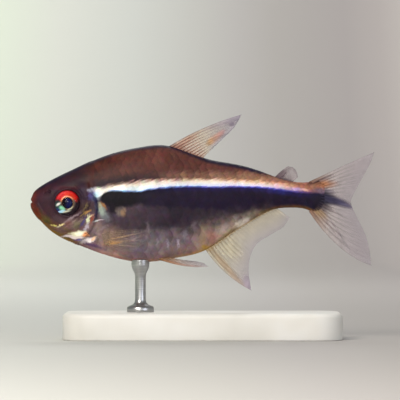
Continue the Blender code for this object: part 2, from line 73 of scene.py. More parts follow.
WIDEST_LEVEL = (
    (0.0, -0.35), (4.0, -0.3), (9.0, -0.35), (14.0, -0.3), (20.0, 0.3), (27.0, 0.75),
    (33.0, 0.3),
)
BACK_FULLNESS = ((0.0, 2.1), (8.0, 2.1), (16.0, 1.95), (33.0, 2.0))
BELLY_FULLNESS = ((0.0, 2.2), (6.0, 2.1), (14.0, 2.1), (20.0, 1.75), (26.0, 1.8), (33.0, 2.0))
GILL_EDGE = (
    (-5.6, 4.2), (-4.7, 5.25), (-3.6, 6.45), (-2.0, 7.25), (-0.8, 7.42), (0.3, 7.12),
    (1.2, 6.6), (2.6, 6.35), (5.0, 6.25),
)


def smooth_line(points, warp=lambda x: x):
    """A natural cubic spline through the points, for a number or an array."""
    at = np.array([warp(p[0]) for p in points], float)
    value = np.array([p[1] for p in points], float)
    step = np.diff(at)
    system = np.eye(len(at))
    target = np.zeros(len(at))
    for i in range(1, len(at) - 1):
        system[i, i - 1 : i + 2] = step[i - 1], 2 * (step[i - 1] + step[i]), step[i]
        rise_before = (value[i] - value[i - 1]) / step[i - 1]
        target[i] = 6 * ((value[i + 1] - value[i]) / step[i] - rise_before)
    bend = np.linalg.solve(system, target)

    def line(x):
        u = np.clip(warp(np.asarray(x, float)), at[0], at[-1])
        i = np.clip(np.searchsorted(at, u, side="right") - 1, 0, len(at) - 2)
        b = (u - at[i]) / step[i]
        a = 1 - b
        curve = ((a**3 - a) * bend[i] + (b**3 - b) * bend[i + 1]) * step[i] ** 2 / 6
        return a * value[i] + b * value[i + 1] + curve

    return line


def from_snout(x):
    """Spreads out the blunt snout, so that a spline can turn upright at its tip."""
    return np.sqrt(np.maximum(x, 0.0))


def smooth_step(low, high, x):
    t = np.clip((x - low) / (high - low), 0, 1)
    return t * t * (3 - 2 * t)


back = smooth_line(BACK_LINE, from_snout)
belly = smooth_line(BELLY_LINE, from_snout)
half_width = smooth_line(HALF_WIDTH, from_snout)
widest_level = smooth_line(WIDEST_LEVEL)
back_fullness = smooth_line(BACK_FULLNESS)
belly_fullness = smooth_line(BELLY_FULLNESS)
gill_edge = smooth_line(GILL_EDGE)


def body_points(x, angle):
    """Points of the plain body, angle round from the right side's widest level upwards."""
    x, angle = np.broadcast_arrays(x, angle)
    side, height = np.cos(angle), np.sin(angle)
    level = widest_level(x)
    above = height > 0
    reach = np.where(above, back(x) - level, level - belly(x))
    power = 2 / np.where(above, back_fullness(x), belly_fullness(x))
    # The flesh thins out to the root of the tail fin.
    thinned = half_width(x) * (1 - (1 - TAIL_ROOT_WIDTH) * smooth_step(31.0, 32.7, x))
    lowered = reach * (1 - (1 - TAIL_ROOT_HEIGHT) * smooth_step(31.9, BODY_END_X, x))
    y = np.sign(side) * thinned * np.abs(side) ** power
    z = level + np.sign(height) * lowered * np.abs(height) ** power
    return np.stack([x, y, z], axis=-1)


def flank(x, z):
    """Half the plain body's width at x and height z."""
    level = widest_level(x)
    above = z > level
    reach = np.where(above, back(x) - level, level - belly(x))
    fullness = np.where(above, back_fullness(x), belly_fullness(x))
    share = np.clip(np.abs(z - level) / reach, 0, 1)
    return half_width(x) * (1 - share**fullness) ** (1 / fullness)


def swayed(points):
    """The tail end swings a little to the fish's right."""
    moved = np.array(points, float)
    t = np.maximum(moved[..., 0] - SWAY_START, 0) / (TOTAL_LENGTH - SWAY_START)
    moved[..., 1] += SWAY_AT_TAIL * t * t
    return moved


def placed(points):
    """The fish's own millimetres as metres over the stand."""
    return (points + np.array([SNOUT_X, 0.0, AXIS_HEIGHT])) * MM


def ridge(distance, width):
    """A rounded ridge's share of its full height, at a distance from its crest."""
    return np.exp(-((distance / width) ** 2))


def off_line(x, z, start, end):
    """Signed distance over a straight line in the side view, and the share along it."""
    along = np.array(end) - np.array(start)
    length = np.hypot(*along)
    along = along / length
    dx, dz = x - start[0], z - start[1]
    return along[0] * dz - along[1] * dx, (dx * along[0] + dz * along[1]) / length


EYE_CENTRE = (4.12, 1.62, -0.32)
EYE_RADIUS = 1.47
EYE_HALF_DEPTH = 0.82
MOUTH_TIP = (-0.12, 0.02)
MOUTH_CORNER = (1.08, -1.95)
UPPER_JAW_BONE = ((0.55, -0.2), (1.7, -2.35))
LOWER_JAW_CREASE = ((1.3, -2.35), (3.6, -3.4))
GILL_PLATE_SEAM = ((4.9, -3.55), (7.0, -2.55))
NOSTRILS = ((1.62, 0.78, 0.14), (2.06, 0.95, 0.19))  # x, z and radius
EYE_RING = 1.52  # radius of the ring of skin round the eye
CHEEK_SEAMS = (-2.35, -1.45, -0.65, 0.1)  # turns about the eye where cheek bones meet
THROAT_RAYS = (0.35, 0.62, 0.9)  # how far each lies ahead of the gill cover's edge


def head_relief(x, y, z):
    """How far the forms of the head stand out of the plain body there."""
    side = smooth_step(0.1, 0.55, np.abs(y))
    # The mouth is a cleft between two fleshy lips, with the thin upper jaw bone behind it.
    off, share = off_line(x, z, MOUTH_TIP, MOUTH_CORNER)
    rise = -0.2 * ridge(off, 0.065) * (1 - smooth_step(0.95, 1.1, share))
    rise += 0.05 * ridge(off - 0.18, 0.13) * (1 - smooth_step(0.85, 1.15, share))
    rise += 0.07 * ridge(off + 0.24, 0.18) * (1 - smooth_step(0.9, 1.2, share))
    off, share = off_line(x, z, *UPPER_JAW_BONE)
    on_bone = smooth_step(0.0, 0.2, share) * (1 - smooth_step(0.92, 1.05, share))
    on_bone *= smooth_step(-0.34, -0.24, off) * (1 - smooth_step(0.1, 0.3, off))
    rise += side * 0.09 * on_bone
    off, share = off_line(x, z, *LOWER_JAW_CREASE)
    on_crease = smooth_step(0, 0.15, share) * (1 - smooth_step(0.85, 1, share))
    rise -= 0.07 * side * ridge(off, 0.09) * on_crease
    # Nostrils, each a pit with a low rim.
    for nx, nz, radius in NOSTRILS:
        away = np.hypot(x - nx, z - nz)
        rim, pit = ridge(away - radius * 1.35, 0.07), ridge(away, radius * 0.8)
        rise += side * (0.04 * rim - 0.15 * pit)
    # The ring of skin round the eye, and the thin bones under and behind it.
    turn_x, turn_z = x - EYE_CENTRE[0], z - EYE_CENTRE[2]
    from_eye = np.hypot(turn_x, turn_z)
    rise += side * 0.06 * ridge(from_eye - EYE_RING, 0.16)
    around = np.arctan2(turn_z, turn_x)
    under = smooth_step(-0.2, 0.5, turn_x * 0.5 - turn_z)
    plate = smooth_step(1.7, 1.85, from_eye) * (1 - smooth_step(2.3, 2.42, from_eye))
    rise += side * under * 0.07 * plate
    for seam in CHEEK_SEAMS:
        on_seam = ridge((around - seam) * from_eye, 0.06) * ridge(from_eye - 2.0, 0.4)
        rise -= side * under * 0.05 * on_seam
    # The bent edge of the cheek bone.
    bend_x, bend_z = x - 3.5, z + 0.9
    behind = smooth_step(-0.3, 0.4, bend_x - 0.55 * bend_z)
    bent = np.hypot(bend_x, bend_z)
    rise += side * behind * (0.1 * ridge(bent - 2.35, 0.22) - 0.07 * ridge(bent - 2.72, 0.07))
    # The gill cover: a thin curved plate with a free edge and a crevice behind it.
    edge = gill_edge(z)
    low = side * (1 - smooth_step(0.9, 2.2, z))
    cover = smooth_step(4.6, 5.9, x) * (1 - smooth_step(edge - 0.02, edge + 0.14, x))
    free_edge, crevice = ridge(x - edge + 0.14, 0.1), ridge(x - edge - 0.24, 0.13)
    rise += low * (0.24 * cover + 0.05 * free_edge - 0.1 * crevice)
    # Faint ribs fan out over the gill cover from its upper front corner.
    fan_x, fan_z = x - 5.3, z - 0.8
    on_cover = smooth_step(5.6, 6.2, x) * (1 - smooth_step(edge - 0.25, edge, x)) * low
    fan = np.cos(np.arctan2(fan_z, fan_x) * 34) * smooth_step(0.5, 1.2, np.hypot(fan_x, fan_z))
    rise += on_cover * 0.012 * fan
    # The seam of the lowest gill plate, and the slim rays under the throat.
    off, share = off_line(x, z, *GILL_PLATE_SEAM)
    on_seam = smooth_step(0, 0.2, share) * (1 - smooth_step(0.9, 1.0, share))
    rise -= side * 0.05 * ridge(off, 0.06) * on_seam
    for ahead in THROAT_RAYS:
        rise -= 0.045 * ridge(x - edge + ahead, 0.06) * (1 - smooth_step(-4.4, -3.8, z)) * (x > 2.5)
    return rise


def socket_sunk(points):
    """Sinks the skin inside the ring of each eye to just under the eyeball's front."""
    x, y, z = points.T
    r = np.hypot(x - EYE_CENTRE[0], z - EYE_CENTRE[2]) / EYE_RADIUS
    on_head = (x < 6) & (np.abs(y) > 0.8)
    floor = EYE_CENTRE[1] - 0.1 + (EYE_HALF_DEPTH - 0.25) * np.sqrt(np.clip(1 - r * r, 0, 1))
    sunk = np.where(on_head, 1 - smooth_step(0.925, 0.985, r), 0)
    y = np.sign(y) * (np.abs(y) * (1 - sunk) + floor * sunk)
    return np.stack([x, y, z], axis=1)


def mesh_object(name, bm):
    """A smooth piece from a bmesh, at the origin, unturned and unscaled."""
    for face in bm.faces:
        face.smooth = True
    mesh = bpy.data.meshes.new(name)
    bm.to_mesh(mesh)
    bm.free()
    obj = bpy.data.objects.new(name, mesh)
    bpy.context.scene.collection.objects.link(obj)
    return obj


def coordinates(mesh):
    co = np.empty(len(mesh.vertices) * 3, np.float32)
    mesh.vertices.foreach_get("co", co)
    return co.reshape(-1, 3).astype(float)


def set_coordinates(mesh, points):
    mesh.vertices.foreach_set("co", points.astype(np.float32).ravel())
    mesh.update()


def keep_values(mesh, word, values):
    """Keeps one value at each point of a mesh, for its material to read."""
    layer = mesh.attributes.new(word, "FLOAT", "POINT")
    layer.data.foreach_set("value", values.astype(np.float32).ravel())


SKIN_SEGMENTS = 184
SKIN_RINGS = 440
RING_BIAS = 0.25  # less draws more of the rings towards the snout

bm = bmesh.new()
bmesh.ops.create_uvsphere(bm, u_segments=SKIN_SEGMENTS, v_segments=SKIN_RINGS, radius=1.0)
skin = mesh_object("skin", bm)
ball = coordinates(skin.data)
share = np.arccos(np.clip(ball[:, 2], -1, 1)) / math.pi
ring_x = BODY_END_X * share**2 * (1 + RING_BIAS) / (share + RING_BIAS)
points = body_points(ring_x, np.arctan2(ball[:, 1], ball[:, 0]))
at_pole = np.abs(ball[:, 2]) > 1 - 1e-7
points[at_pole, 1] = 0
points[at_pole, 2] = widest_level(ring_x[at_pole])
set_coordinates(skin.data, points)
out = np.empty(len(points) * 3, np.float32)
skin.data.vertex_normals.foreach_get("vector", out)
out = out.reshape(-1, 3).astype(float)
if (out[:, 1] * points[:, 1]).sum() < 0:
    skin.data.flip_normals()
    out = -out
under_scales = smooth_step(0.05, 0.9, points[:, 0] - gill_edge(points[:, 2]))
points += out * (head_relief(*points.T) - SCALE_DEPTH * under_scales)[:, None]
set_coordinates(skin.data, placed(swayed(socket_sunk(points))))
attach(skin, "root")
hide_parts("head", "trunk", "tail")


# Finish of the skin: living fish skin under a film of slime, wet and glossy. Brown pigment
# lies over the back, a mirror layer of guanine crystals makes the pale stripe, dense black
# cells fill the band under it, and the belly is thin and greyish over the gut.
def linear(colour, alpha=1.0):
    """An sRGB hex colour as linear red, green and blue, with its alpha."""
    parts = [int(colour[i : i + 2], 16) / 255 for i in (0, 2, 4)]
    return (*[c / 12.92 if c <= 0.04045 else ((c + 0.055) / 1.055) ** 2.4 for c in parts], alpha)


def add(tree, kind, inputs=(), out=0, **settings):
    """Adds a shader node with its settings, links or sets its inputs, and gives one output."""
    made = tree.nodes.new("ShaderNode" + kind)
    for name, value in settings.items():
        setattr(made, name, value)
    for name, value in dict(inputs).items():
        if isinstance(value, bpy.types.NodeSocket):
            tree.links.new(value, made.inputs[name])
        else:
            made.inputs[name].default_value = value
    return made.outputs[out] if made.outputs else None


def start_material(name):
    """An empty material, its tree, and a vector of the fish's own millimetres."""
    material = bpy.data.materials.new(name)
    material.use_nodes = True
    tree = material.node_tree
    tree.nodes.clear()
    where = add(tree, "TexCoord", out="Object")
    own = add(
        tree, "VectorMath",
        {0: where, 1: (1 / MM,) * 3, 2: (-SNOUT_X, 0.0, -AXIS_HEIGHT)},
        operation="MULTIPLY_ADD",
    )
    return material, tree, own


def colours_along(tree, value, stops, start, end):
    """Colour and strength from a ramp over stops of place, hex colour and, if given, strength."""
    share = add(tree, "MapRange", {"Value": value, "From Min": start, "From Max": end})
    ramp = add(tree, "ValToRGB", {"Fac": share})
    elements = ramp.node.color_ramp.elements
    while len(elements) < len(stops):
        elements.new(0.5)
    for element, (place, *colour) in zip(elements, stops):
        element.position = (place - start) / (end - start)
        element.color = linear(*colour)
    return ramp.node.outputs


def stretched_noise(tree, place, size, detail, tilt=0):
    """Noise with a pattern of the given size along each axis, tilted in the side view."""
    laid = add(
        tree, "Mapping",
        {"Vector": place, "Rotation": (0, math.radians(-tilt), 0), "Scale": size},
        vector_type="TEXTURE",
    )
    return add(tree, "TexNoise", {"Vector": laid, "Scale": 1.0, "Detail": detail})


def shaded(tree, colour, value, span, shades, share=1.0):
    """A colour darkened or lightened by a value, which goes over its span between shades."""
    limits = {"From Min": span[0], "From Max": span[1], "To Min": shades[0], "To Max": shades[1]}
    shade = add(tree, "MapRange", {"Value": value, **limits})
    mix = {"Factor": share, 6: colour, 7: shade}
    return add(tree, "Mix", mix, 2, data_type="RGBA", blend_type="MULTIPLY")


def surface(tree, inputs, height=None, strength=0.0, depth=0.0):
    """Ends a material with its shader, bumped by a height to a depth in mm, and its output."""
    if height is not None:
        bumps = {"Height": height, "Strength": strength, "Distance": depth * MM}
        inputs = {**inputs, "Normal": add(tree, "Bump", bumps)}
    shader = add(tree, "BsdfPrincipled", inputs)
    add(tree, "OutputMaterial", {"Surface": shader})


def lay_marks(tree, own, colour, marks):
    """Lays oval marks over a colour: centre, reach, turn, softness, hex colour, strength.

    Dot products measure along and across each oval. As many Mapping nodes as there are marks
    on the head would be more than the renderer can hold in one material.
    """
    for centre, reach, turn, soft, tint, strength in marks:
        cos, sin = math.cos(math.radians(turn)), math.sin(math.radians(turn))
        axes = (cos / reach[0], 0, sin / reach[0]), (-sin / reach[1], 0, cos / reach[1])
        along, across = (
            add(tree, "VectorMath", {0: own, 1: axis}, "Value", operation="DOT_PRODUCT")
            for axis in axes
        )
        middle = [centre[0] * axis[0] + centre[1] * axis[2] for axis in axes]
        local = add(tree, "CombineXYZ", {0: along, 1: across})
        away = add(tree, "VectorMath", {0: local, 1: (*middle, 0)}, "Value", operation="DISTANCE")
        mask = add(
            tree, "MapRange",
            {"Value": away, "From Min": 1 + soft, "From Max": 1 - soft, "To Max": strength},
            interpolation_type="SMOOTHSTEP",
        )
        mix = {"Factor": mask, 6: colour, 7: linear(tint)}
        colour = add(tree, "Mix", mix, 2, data_type="RGBA")
    return colour


BODY_SPAN = 40.0  # the reach of the curves and ramps below, along the fish
HEIGHTS = (-10.0, 10.0)  # and up it
BACK_FIN_END = 19.0

SILVER_TOP = (
    (0.0, 1.3), (6.3, 1.3), (7.7, 1.36), (8.8, 1.5), (9.9, 1.65), (12.2, 1.96), (14.4, 2.09),
    (17.0, 2.13), (21.1, 2.13), (24.4, 1.96), (27.2, 1.74), (28.9, 1.54), (30.5, 1.28),
    (33.0, 1.0), (40.0, 0.9),
)
SILVER_BOTTOM = (
    (0.0, 0.5), (7.0, 0.3), (7.75, 0.38), (8.2, 0.8), (8.7, 1.0), (9.5, 1.04), (11.0, 0.97),
    (12.4, 1.0), (13.3, 1.2), (14.4, 1.3), (16.6, 1.47), (20.0, 1.45), (25.5, 1.38), (26.6, 1.27),
    (28.3, 1.08), (30.0, 0.84), (33.0, 0.75), (40.0, 0.0),
)
BLACK_BOTTOM = (
    (0.0, 0.4), (7.0, 0.0), (7.75, -0.05), (8.2, -0.35), (8.7, -0.8), (9.2, -1.2), (9.7, -0.9),
    (10.6, -0.72), (14.0, -0.7), (17.0, -0.85), (20.0, -1.1), (22.5, -1.35), (25.0, -1.4),
    (26.5, -1.25), (28.0, -1.2), (30.5, -1.35), (32.5, -1.1), (40.0, -0.8),
)
DARK_FLANK_BOTTOM = (
    (0.0, -2.0), (4.0, -2.6), (7.0, -1.5), (8.2, -2.3), (9.0, -3.15), (11.0, -3.75), (13.2, -3.3),
    (15.5, -3.15), (17.7, -3.1), (19.2, -2.65), (20.8, -2.55), (23.3, -1.78), (25.5, -1.42),
    (27.0, -1.3), (28.0, -1.4), (40.0, -3.0),
)


def shifted(line, rise):
    return [(x, z + rise) for x, z in line]


def halfway(one, other, steps=13):
    """Points half way between two edges."""
    first, second = smooth_line(one), smooth_line(other)
    return [(x, float(first(x) + second(x)) / 2) for x in np.linspace(0, BODY_SPAN, steps)]


# Layers of colour from the back down: each covers all that lies under its edge. Given are
# its edge, the edge's softness, the noise that breaks it and by how much, and its colours
# along the fish, each with its place and strength.
back_edge = [*BACK_LINE[3:], (BODY_SPAN, 3.0)]
back_rim = [(x, z - (0.36 if x < BACK_FIN_END else 0.5)) for x, z in back_edge]
belly_edge = [(0.0, -1.2), (1.2, -2.35), *BELLY_LINE[3:], (BODY_SPAN, -3.0)]
LAYERS = (
    (back_rim, 0.24, "blotch", 0.4, (
        (0.0, "522d2e", 0.9), (3.0, "3f2733", 0.9), (5.6, "412c2f", 0.9), (7.4, "56322b", 1.0),
        (9.4, "5c3730", 1.0), (14.5, "67423b", 1.0), (18.5, "63403a", 1.0),
        (23.5, "6b4843", 1.0), (28.0, "8d6454", 1.0), (32.0, "9a6a58", 1.0),
    )),
    (shifted(SILVER_TOP, 0.95), 0.45, "streak", 0.9, (
        (6.5, "34262e", 0.0), (7.4, "30222c", 0.9), (8.6, "30222c", 0.9),
        (13.5, "46373a", 0.85), (16.5, "856759", 0.8), (20.0, "8f7160", 0.75),
        (25.0, "a8846c", 0.75), (29.0, "a67866", 0.85), (32.0, "ac7660", 0.7),
    )),
    (shifted(SILVER_TOP, 0.24), 0.16, "streak", 0.8, (
        (7.6, "34262e", 0.0), (8.6, "8a7468", 0.6), (12.0, "a3877e", 0.85), (15.0, "bb9486", 0.75),
        (22.0, "d3ab8d", 0.7), (27.0, "d6a68a", 0.8), (30.0, "b98570", 0.6), (32.0, "a5765a", 0.0),
    )),
    (SILVER_TOP, 0.28, "streak", 0.6, (
        (6.7, "a9a6c0", 0.0), (7.05, "b0b4bc", 0.75), (7.3, "e2e6da", 0.95), (9.0, "eae0d2", 1.0),
        (12.4, "dcd3c8", 1.0), (15.0, "e6ddd6", 1.0), (20.0, "f0e7de", 1.0), (26.0, "f2e7e2", 1.0),
        (28.4, "e3c3bd", 0.9), (30.2, "b98a83", 0.6), (31.5, "8d6655", 0.2),
    )),
    (halfway(SILVER_TOP, SILVER_BOTTOM), 0.22, "streak", 0.3, (
        (6.8, "6f6f9c", 0.0), (7.05, "9cb0cc", 0.7), (7.3, "c2e4f2", 0.95), (8.2, "e8e4da", 0.8),
        (9.2, "dcebf2", 0.7), (12.0, "d4e4f0", 0.7), (20.0, "ccd8f6", 0.8), (26.0, "c9c6f4", 0.8),
        (29.0, "8f7fc4", 0.7), (31.0, "6c5c84", 0.6), (32.4, "6c5f74", 0.6),
    )),
    (shifted(SILVER_BOTTOM, 0.1), 0.09, "streak", 0.25, (
        (7.6, "5d6f9c", 0.0), (8.3, "b4a894", 0.6), (9.0, "7eaede", 0.75), (11.0, "6e9fe0", 0.75),
        (14.0, "5a78c8", 0.8), (20.0, "4a58c0", 0.85), (27.0, "4a4ec4", 0.9), (29.5, "4a40a4", 0.7),
        (31.5, "33284f", 0.5),
    )),
    (shifted(SILVER_BOTTOM, -0.04), 0.12, "streak", 0.25, (
        (7.4, "2a2550", 0.5), (7.9, "110f18", 1.0), (12.0, "161522", 1.0), (18.0, "2b2354", 1.0),
        (24.0, "2c2454", 1.0), (26.2, "2e2858", 1.0), (27.9, "35347c", 1.0),
        (29.4, "2e2658", 1.0), (32.7, "262036", 1.0),
    )),
    (shifted(SILVER_BOTTOM, -0.42), 0.3, "blotch", 0.3, (
        (7.1, "2a2438", 0.3), (7.6, "130f17", 1.0), (11.5, "18141d", 1.0), (13.5, "2b2336", 1.0),
        (18.0, "2c2339", 1.0), (24.0, "2b2238", 1.0), (30.0, "2a2338", 1.0), (32.7, "2a2334", 1.0),
    )),
    (BLACK_BOTTOM, 0.3, "blotch", 1.1, (
        (0.0, "4a3036", 0.8), (5.0, "553b3f", 0.9), (7.0, "54424a", 1.0), (8.2, "514550", 1.0),
        (11.5, "53464f", 1.0), (15.5, "382f3b", 1.0), (20.0, "3a323c", 1.0), (24.0, "443a40", 1.0),
        (27.0, "2a232f", 1.0), (32.0, "241e2b", 1.0),
    )),
    (shifted(DARK_FLANK_BOTTOM, 0.6), 0.9, "blotch", 1.3, (
        (7.5, "5c4d55", 0.0), (9.0, "544850", 0.8), (11.0, "52464e", 1.0), (13.0, "4a414b", 1.0),
        (16.0, "40363f", 1.0), (18.5, "51464c", 1.0), (20.5, "564b4f", 1.0), (23.0, "54484a", 0.8),
        (26.0, "40343c", 0.3), (28.0, "40343c", 0.0),
    )),
    (shifted(DARK_FLANK_BOTTOM, -0.4), 1.2, "blotch", 1.4, (
        (0.0, "6e4f3c", 0.9), (4.0, "70573f", 0.9), (6.0, "7c6868", 1.0), (8.5, "93827f", 1.0),
        (11.0, "7c6d72", 1.0), (13.3, "80747b", 1.0), (17.5, "7b6d72", 1.0), (19.6, "97857c", 1.0),
        (21.0, "a8958c", 1.0), (24.0, "bcb0a4", 1.0), (26.5, "94826c", 1.0), (29.0, "7d5d48", 0.8),
        (32.0, "8f6b44", 0.7),
    )),
    (shifted(belly_edge, 1.1), 0.8, "blotch", 0.8, (
        (1.5, "6a4a2c", 0.7), (4.5, "7c5f35", 0.7), (6.5, "987c8c", 0.8), (8.9, "b8988e", 0.85),
        (11.0, "8c7276", 0.7), (13.0, "8c7278", 0.7), (17.0, "a0807a", 0.7), (20.0, "a8867a", 0.5),
        (22.0, "a5917a", 0.2), (28.0, "8c6a48", 0.0),
    )),
    # The ochre rim along the keel; its colours are painted lighter as fill light on the underside,
    # which faces down, away from the lamps.
    (shifted(belly_edge, 0.3), 0.26, "blotch", 0.3, (
        (1.2, "7e5a20", 0.9), (4.2, "94742c", 0.9), (5.4, "7a4a4c", 0.8), (8.0, "b57e74", 0.8),
        (12.0, "b58474", 0.8), (16.0, "b88c68", 0.85), (19.5, "b08f48", 0.85), (21.0, "9c7c4c", 0.7),
        (25.0, "957a50", 0.6), (27.0, "8b6233", 0.5), (31.0, "a9783c", 0.6),
    )),
)
NOISES = {  # size of the pattern in mm along, across and up the fish, its tilt and detail
    "blotch": ((1.1, 1.1, 1.1), 0, 4.0),
    "streak": ((1.0, 1.0, 0.2), 24, 3.0),
    "grain": ((0.3, 0.3, 0.3), 0, 3.0),
}

# Marks on the side of the head and behind it. Thin bones there show cream, silver, gold
# and orange strokes among brown and violet, their guanine's own colours; the brightest of
# them are painted glints where the bones catch the light. A few marks are painted shade
# and painted fill light, each noted below.
HEAD_MARKS_AND_PAINTED_LIGHT = (
    ((0.45, -1.15), (1.3, 0.3), -60, 0.7, "703024", 0.8),  # lower lip
    ((0.1, 0.35), (0.5, 0.85), -12, 0.7, "70342e", 0.75),  # tip of the snout
    ((1.2, 0.6), (0.5, 0.35), 40, 0.8, "4d2e3c", 0.5),
    ((3.0, 1.35), (0.8, 0.25), 24, 0.8, "4a3242", 0.5),
    ((4.1, 1.32), (1.2, 0.22), 0, 0.7, "6a2a34", 0.55),  # red showing through over the eye
    ((5.3, 2.2), (0.9, 0.3), 20, 0.8, "33202c", 0.5),
    ((5.9, 0.9), (0.5, 0.8), 12, 0.8, "3a2c48", 0.6),
    ((6.75, 1.16), (0.34, 0.2), 8, 0.8, "b3b6c2", 0.75),  # first glint of the silver stripe
    ((6.72, 0.5), (0.3, 0.5), 12, 0.8, "5c5890", 0.75),
    ((2.0, -0.1), (0.9, 0.8), 0, 0.7, "42303a", 0.6),
    ((2.1, 0.85), (0.3, 0.3), 0, 0.8, "2a1a26", 0.3),  # painted shade in the pits of the nostrils
    ((4.15, -0.4), (1.75, 1.8), 0, 0.4, "2c1d28", 0.75),  # dark skin round the eye
    ((1.8, -2.2), (0.5, 0.3), -40, 0.8, "5c5a30", 0.7),
    ((3.3, -2.2), (0.9, 0.4), -20, 0.8, "5e4c52", 0.7),
    ((3.3, -3.35), (0.9, 0.25), -28, 0.8, "80686a", 0.6),
    ((4.4, -2.75), (0.9, 0.6), 15, 0.6, "836e6f", 0.85),  # cheek
    ((4.6, -1.95), (1.05, 0.13), 33, 0.9, "9c8a90", 0.8),
    ((4.85, -2.45), (0.8, 0.09), 38, 0.9, "a8938c", 0.6),
    ((4.15, -2.9), (0.4, 0.07), 40, 0.8, "a88a8c", 0.7),
    ((5.45, -2.4), (0.8, 0.12), 46, 0.8, "9a8986", 0.65),
    ((5.5, -1.95), (0.5, 0.07), 44, 0.8, "3c2c32", 0.6),
    ((4.1, -2.5), (0.6, 0.1), 38, 0.8, "94807f", 0.5),
    ((5.13, -2.8), (0.42, 0.3), 40, 0.8, "868064", 0.7),
    ((3.95, -3.3), (0.6, 0.12), -25, 0.8, "7c6a4c", 0.6),
    ((6.1, -0.8), (0.5, 0.5), 0, 0.7, "50403a", 0.8),
    ((6.1, -0.95), (0.55, 0.09), 62, 0.8, "8a7a58", 0.7),
    ((6.55, -0.75), (0.5, 0.08), 66, 0.6, "2a1d24", 0.8),
    ((6.36, -1.34), (0.38, 0.1), 25, 0.7, "b48e5c", 0.85),
    ((5.9, -1.56), (0.34, 0.07), 30, 0.7, "8f7a50", 0.8),
    ((6.05, -1.85), (0.3, 0.07), 34, 0.7, "3a2c30", 0.7),
    ((6.85, -2.1), (0.48, 0.13), 72, 0.8, "96482e", 0.75),  # orange stroke on the gill cover
    ((7.15, -2.0), (0.5, 0.08), 76, 0.8, "30242c", 0.6),
    ((6.75, -1.72), (0.26, 0.09), 30, 0.7, "e6cba6", 0.85),
    ((5.9, -2.45), (0.65, 0.13), 66, 0.7, "5a4f80", 0.85),
    ((6.42, -2.1), (0.5, 0.17), 74, 0.6, "dfe2c0", 0.9),  # painted highlight along the edge of the cheek bone
    ((6.2, -3.05), (0.55, 0.2), 64, 0.7, "b9b0bc", 0.85),
    ((6.75, -3.0), (0.45, 0.16), 62, 0.8, "6e555a", 0.6),
    ((6.85, -3.4), (0.3, 0.3), 0, 0.8, "8b7480", 0.6),
    ((7.3, -2.34), (0.24, 0.09), 18, 0.5, "e6efee", 0.95),  # painted white glint at the root of the breast fin, in two strokes
    ((7.8, -2.22), (0.4, 0.05), 8, 0.6, "cdbcc6", 0.8),
    ((7.35, -2.95), (0.35, 0.1), 55, 0.8, "907c84", 0.5),
    # painted yellow-white glints along the lower jaw
    ((2.62, -2.84), (0.28, 0.12), -12, 0.6, "d8cf7e", 0.9),
    ((3.5, -2.77), (0.4, 0.13), 33, 0.6, "f3e2a8", 0.95),
    ((4.15, -2.75), (0.35, 0.4), 0, 0.8, "7a4c44", 0.6),
    ((3.1, -3.05), (0.2, 0.1), 0, 0.7, "cfc9b0", 0.7),
    # painted white glints along the lower edge of the cheek plates
    ((4.07, -4.1), (0.62, 0.13), -4, 0.6, "d9cfd6", 0.9),
    ((5.05, -4.14), (1.15, 0.15), -3, 0.6, "f3e4e4", 0.9),
    ((5.3, -3.76), (0.82, 0.28), 5, 0.5, "fffbdc", 1.0),  # cream plate under the cheek; the next mark is its painted highlight
    ((5.5, -3.72), (0.5, 0.2), 5, 0.7, "ffffee", 0.9),
    ((6.12, -3.85), (0.32, 0.26), -10, 0.6, "f0ac7a", 0.95),
    ((6.2, -3.72), (0.24, 0.06), 4, 0.7, "9c6448", 0.8),
    ((5.25, -4.42), (0.5, 0.1), -8, 0.7, "755a88", 0.8),
    ((5.7, -4.5), (0.4, 0.1), -18, 0.7, "7e8ac0", 0.7),
    # a painted pink-white glint, peach at its end
    ((6.4, -4.48), (0.82, 0.23), 12, 0.5, "fff4f4", 1.0),
    ((7.0, -4.3), (0.28, 0.17), 24, 0.6, "ffd6b4", 0.95),
    ((6.9, -5.0), (1.1, 0.2), -20, 0.7, "5d4468", 0.8),
    ((8.2, -1.7), (0.7, 0.4), -42, 0.8, "868c90", 0.75),
    ((7.82, -1.0), (0.66, 0.36), -58, 0.6, "a4b0a4", 0.85),  # pale wedge behind the gills
    ((7.66, -0.6), (0.3, 0.26), -40, 0.7, "b9b094", 0.8),
    ((8.16, -0.62), (0.46, 0.13), -50, 0.7, "a5794e", 0.8),
    ((9.1, -0.95), (0.42, 0.6), 0, 0.6, "241c28", 0.9),
    ((10.05, -1.25), (0.42, 0.4), 0, 0.9, "90877c", 0.65),
    ((10.3, -1.35), (0.26, 0.34), 0, 0.8, "a5815f", 0.55),
    # painted fill light: a pale tan glow on the lower flank, which faces partly down, away from the
    # lamps
    ((9.1, -4.1), (1.1, 0.9), 0, 0.9, "a58878", 0.6),
    ((8.2, -3.1), (0.6, 0.12), 32, 0.8, "a08f96", 0.5),
    ((8.95, -2.75), (0.5, 0.1), 36, 0.8, "67555c", 0.5),
    ((7.75, -3.95), (0.5, 0.12), -24, 0.8, "a28c8e", 0.5),
    ((9.1, -4.75), (0.85, 0.22), 8, 0.7, "d8a568", 0.9),  # skin under the first breast rays
    ((8.7, -4.62), (0.3, 0.08), 20, 0.6, "dfb98a", 0.7),
    ((11.0, -4.33), (1.25, 0.06), 12, 0.8, "a08e92", 0.6),
)
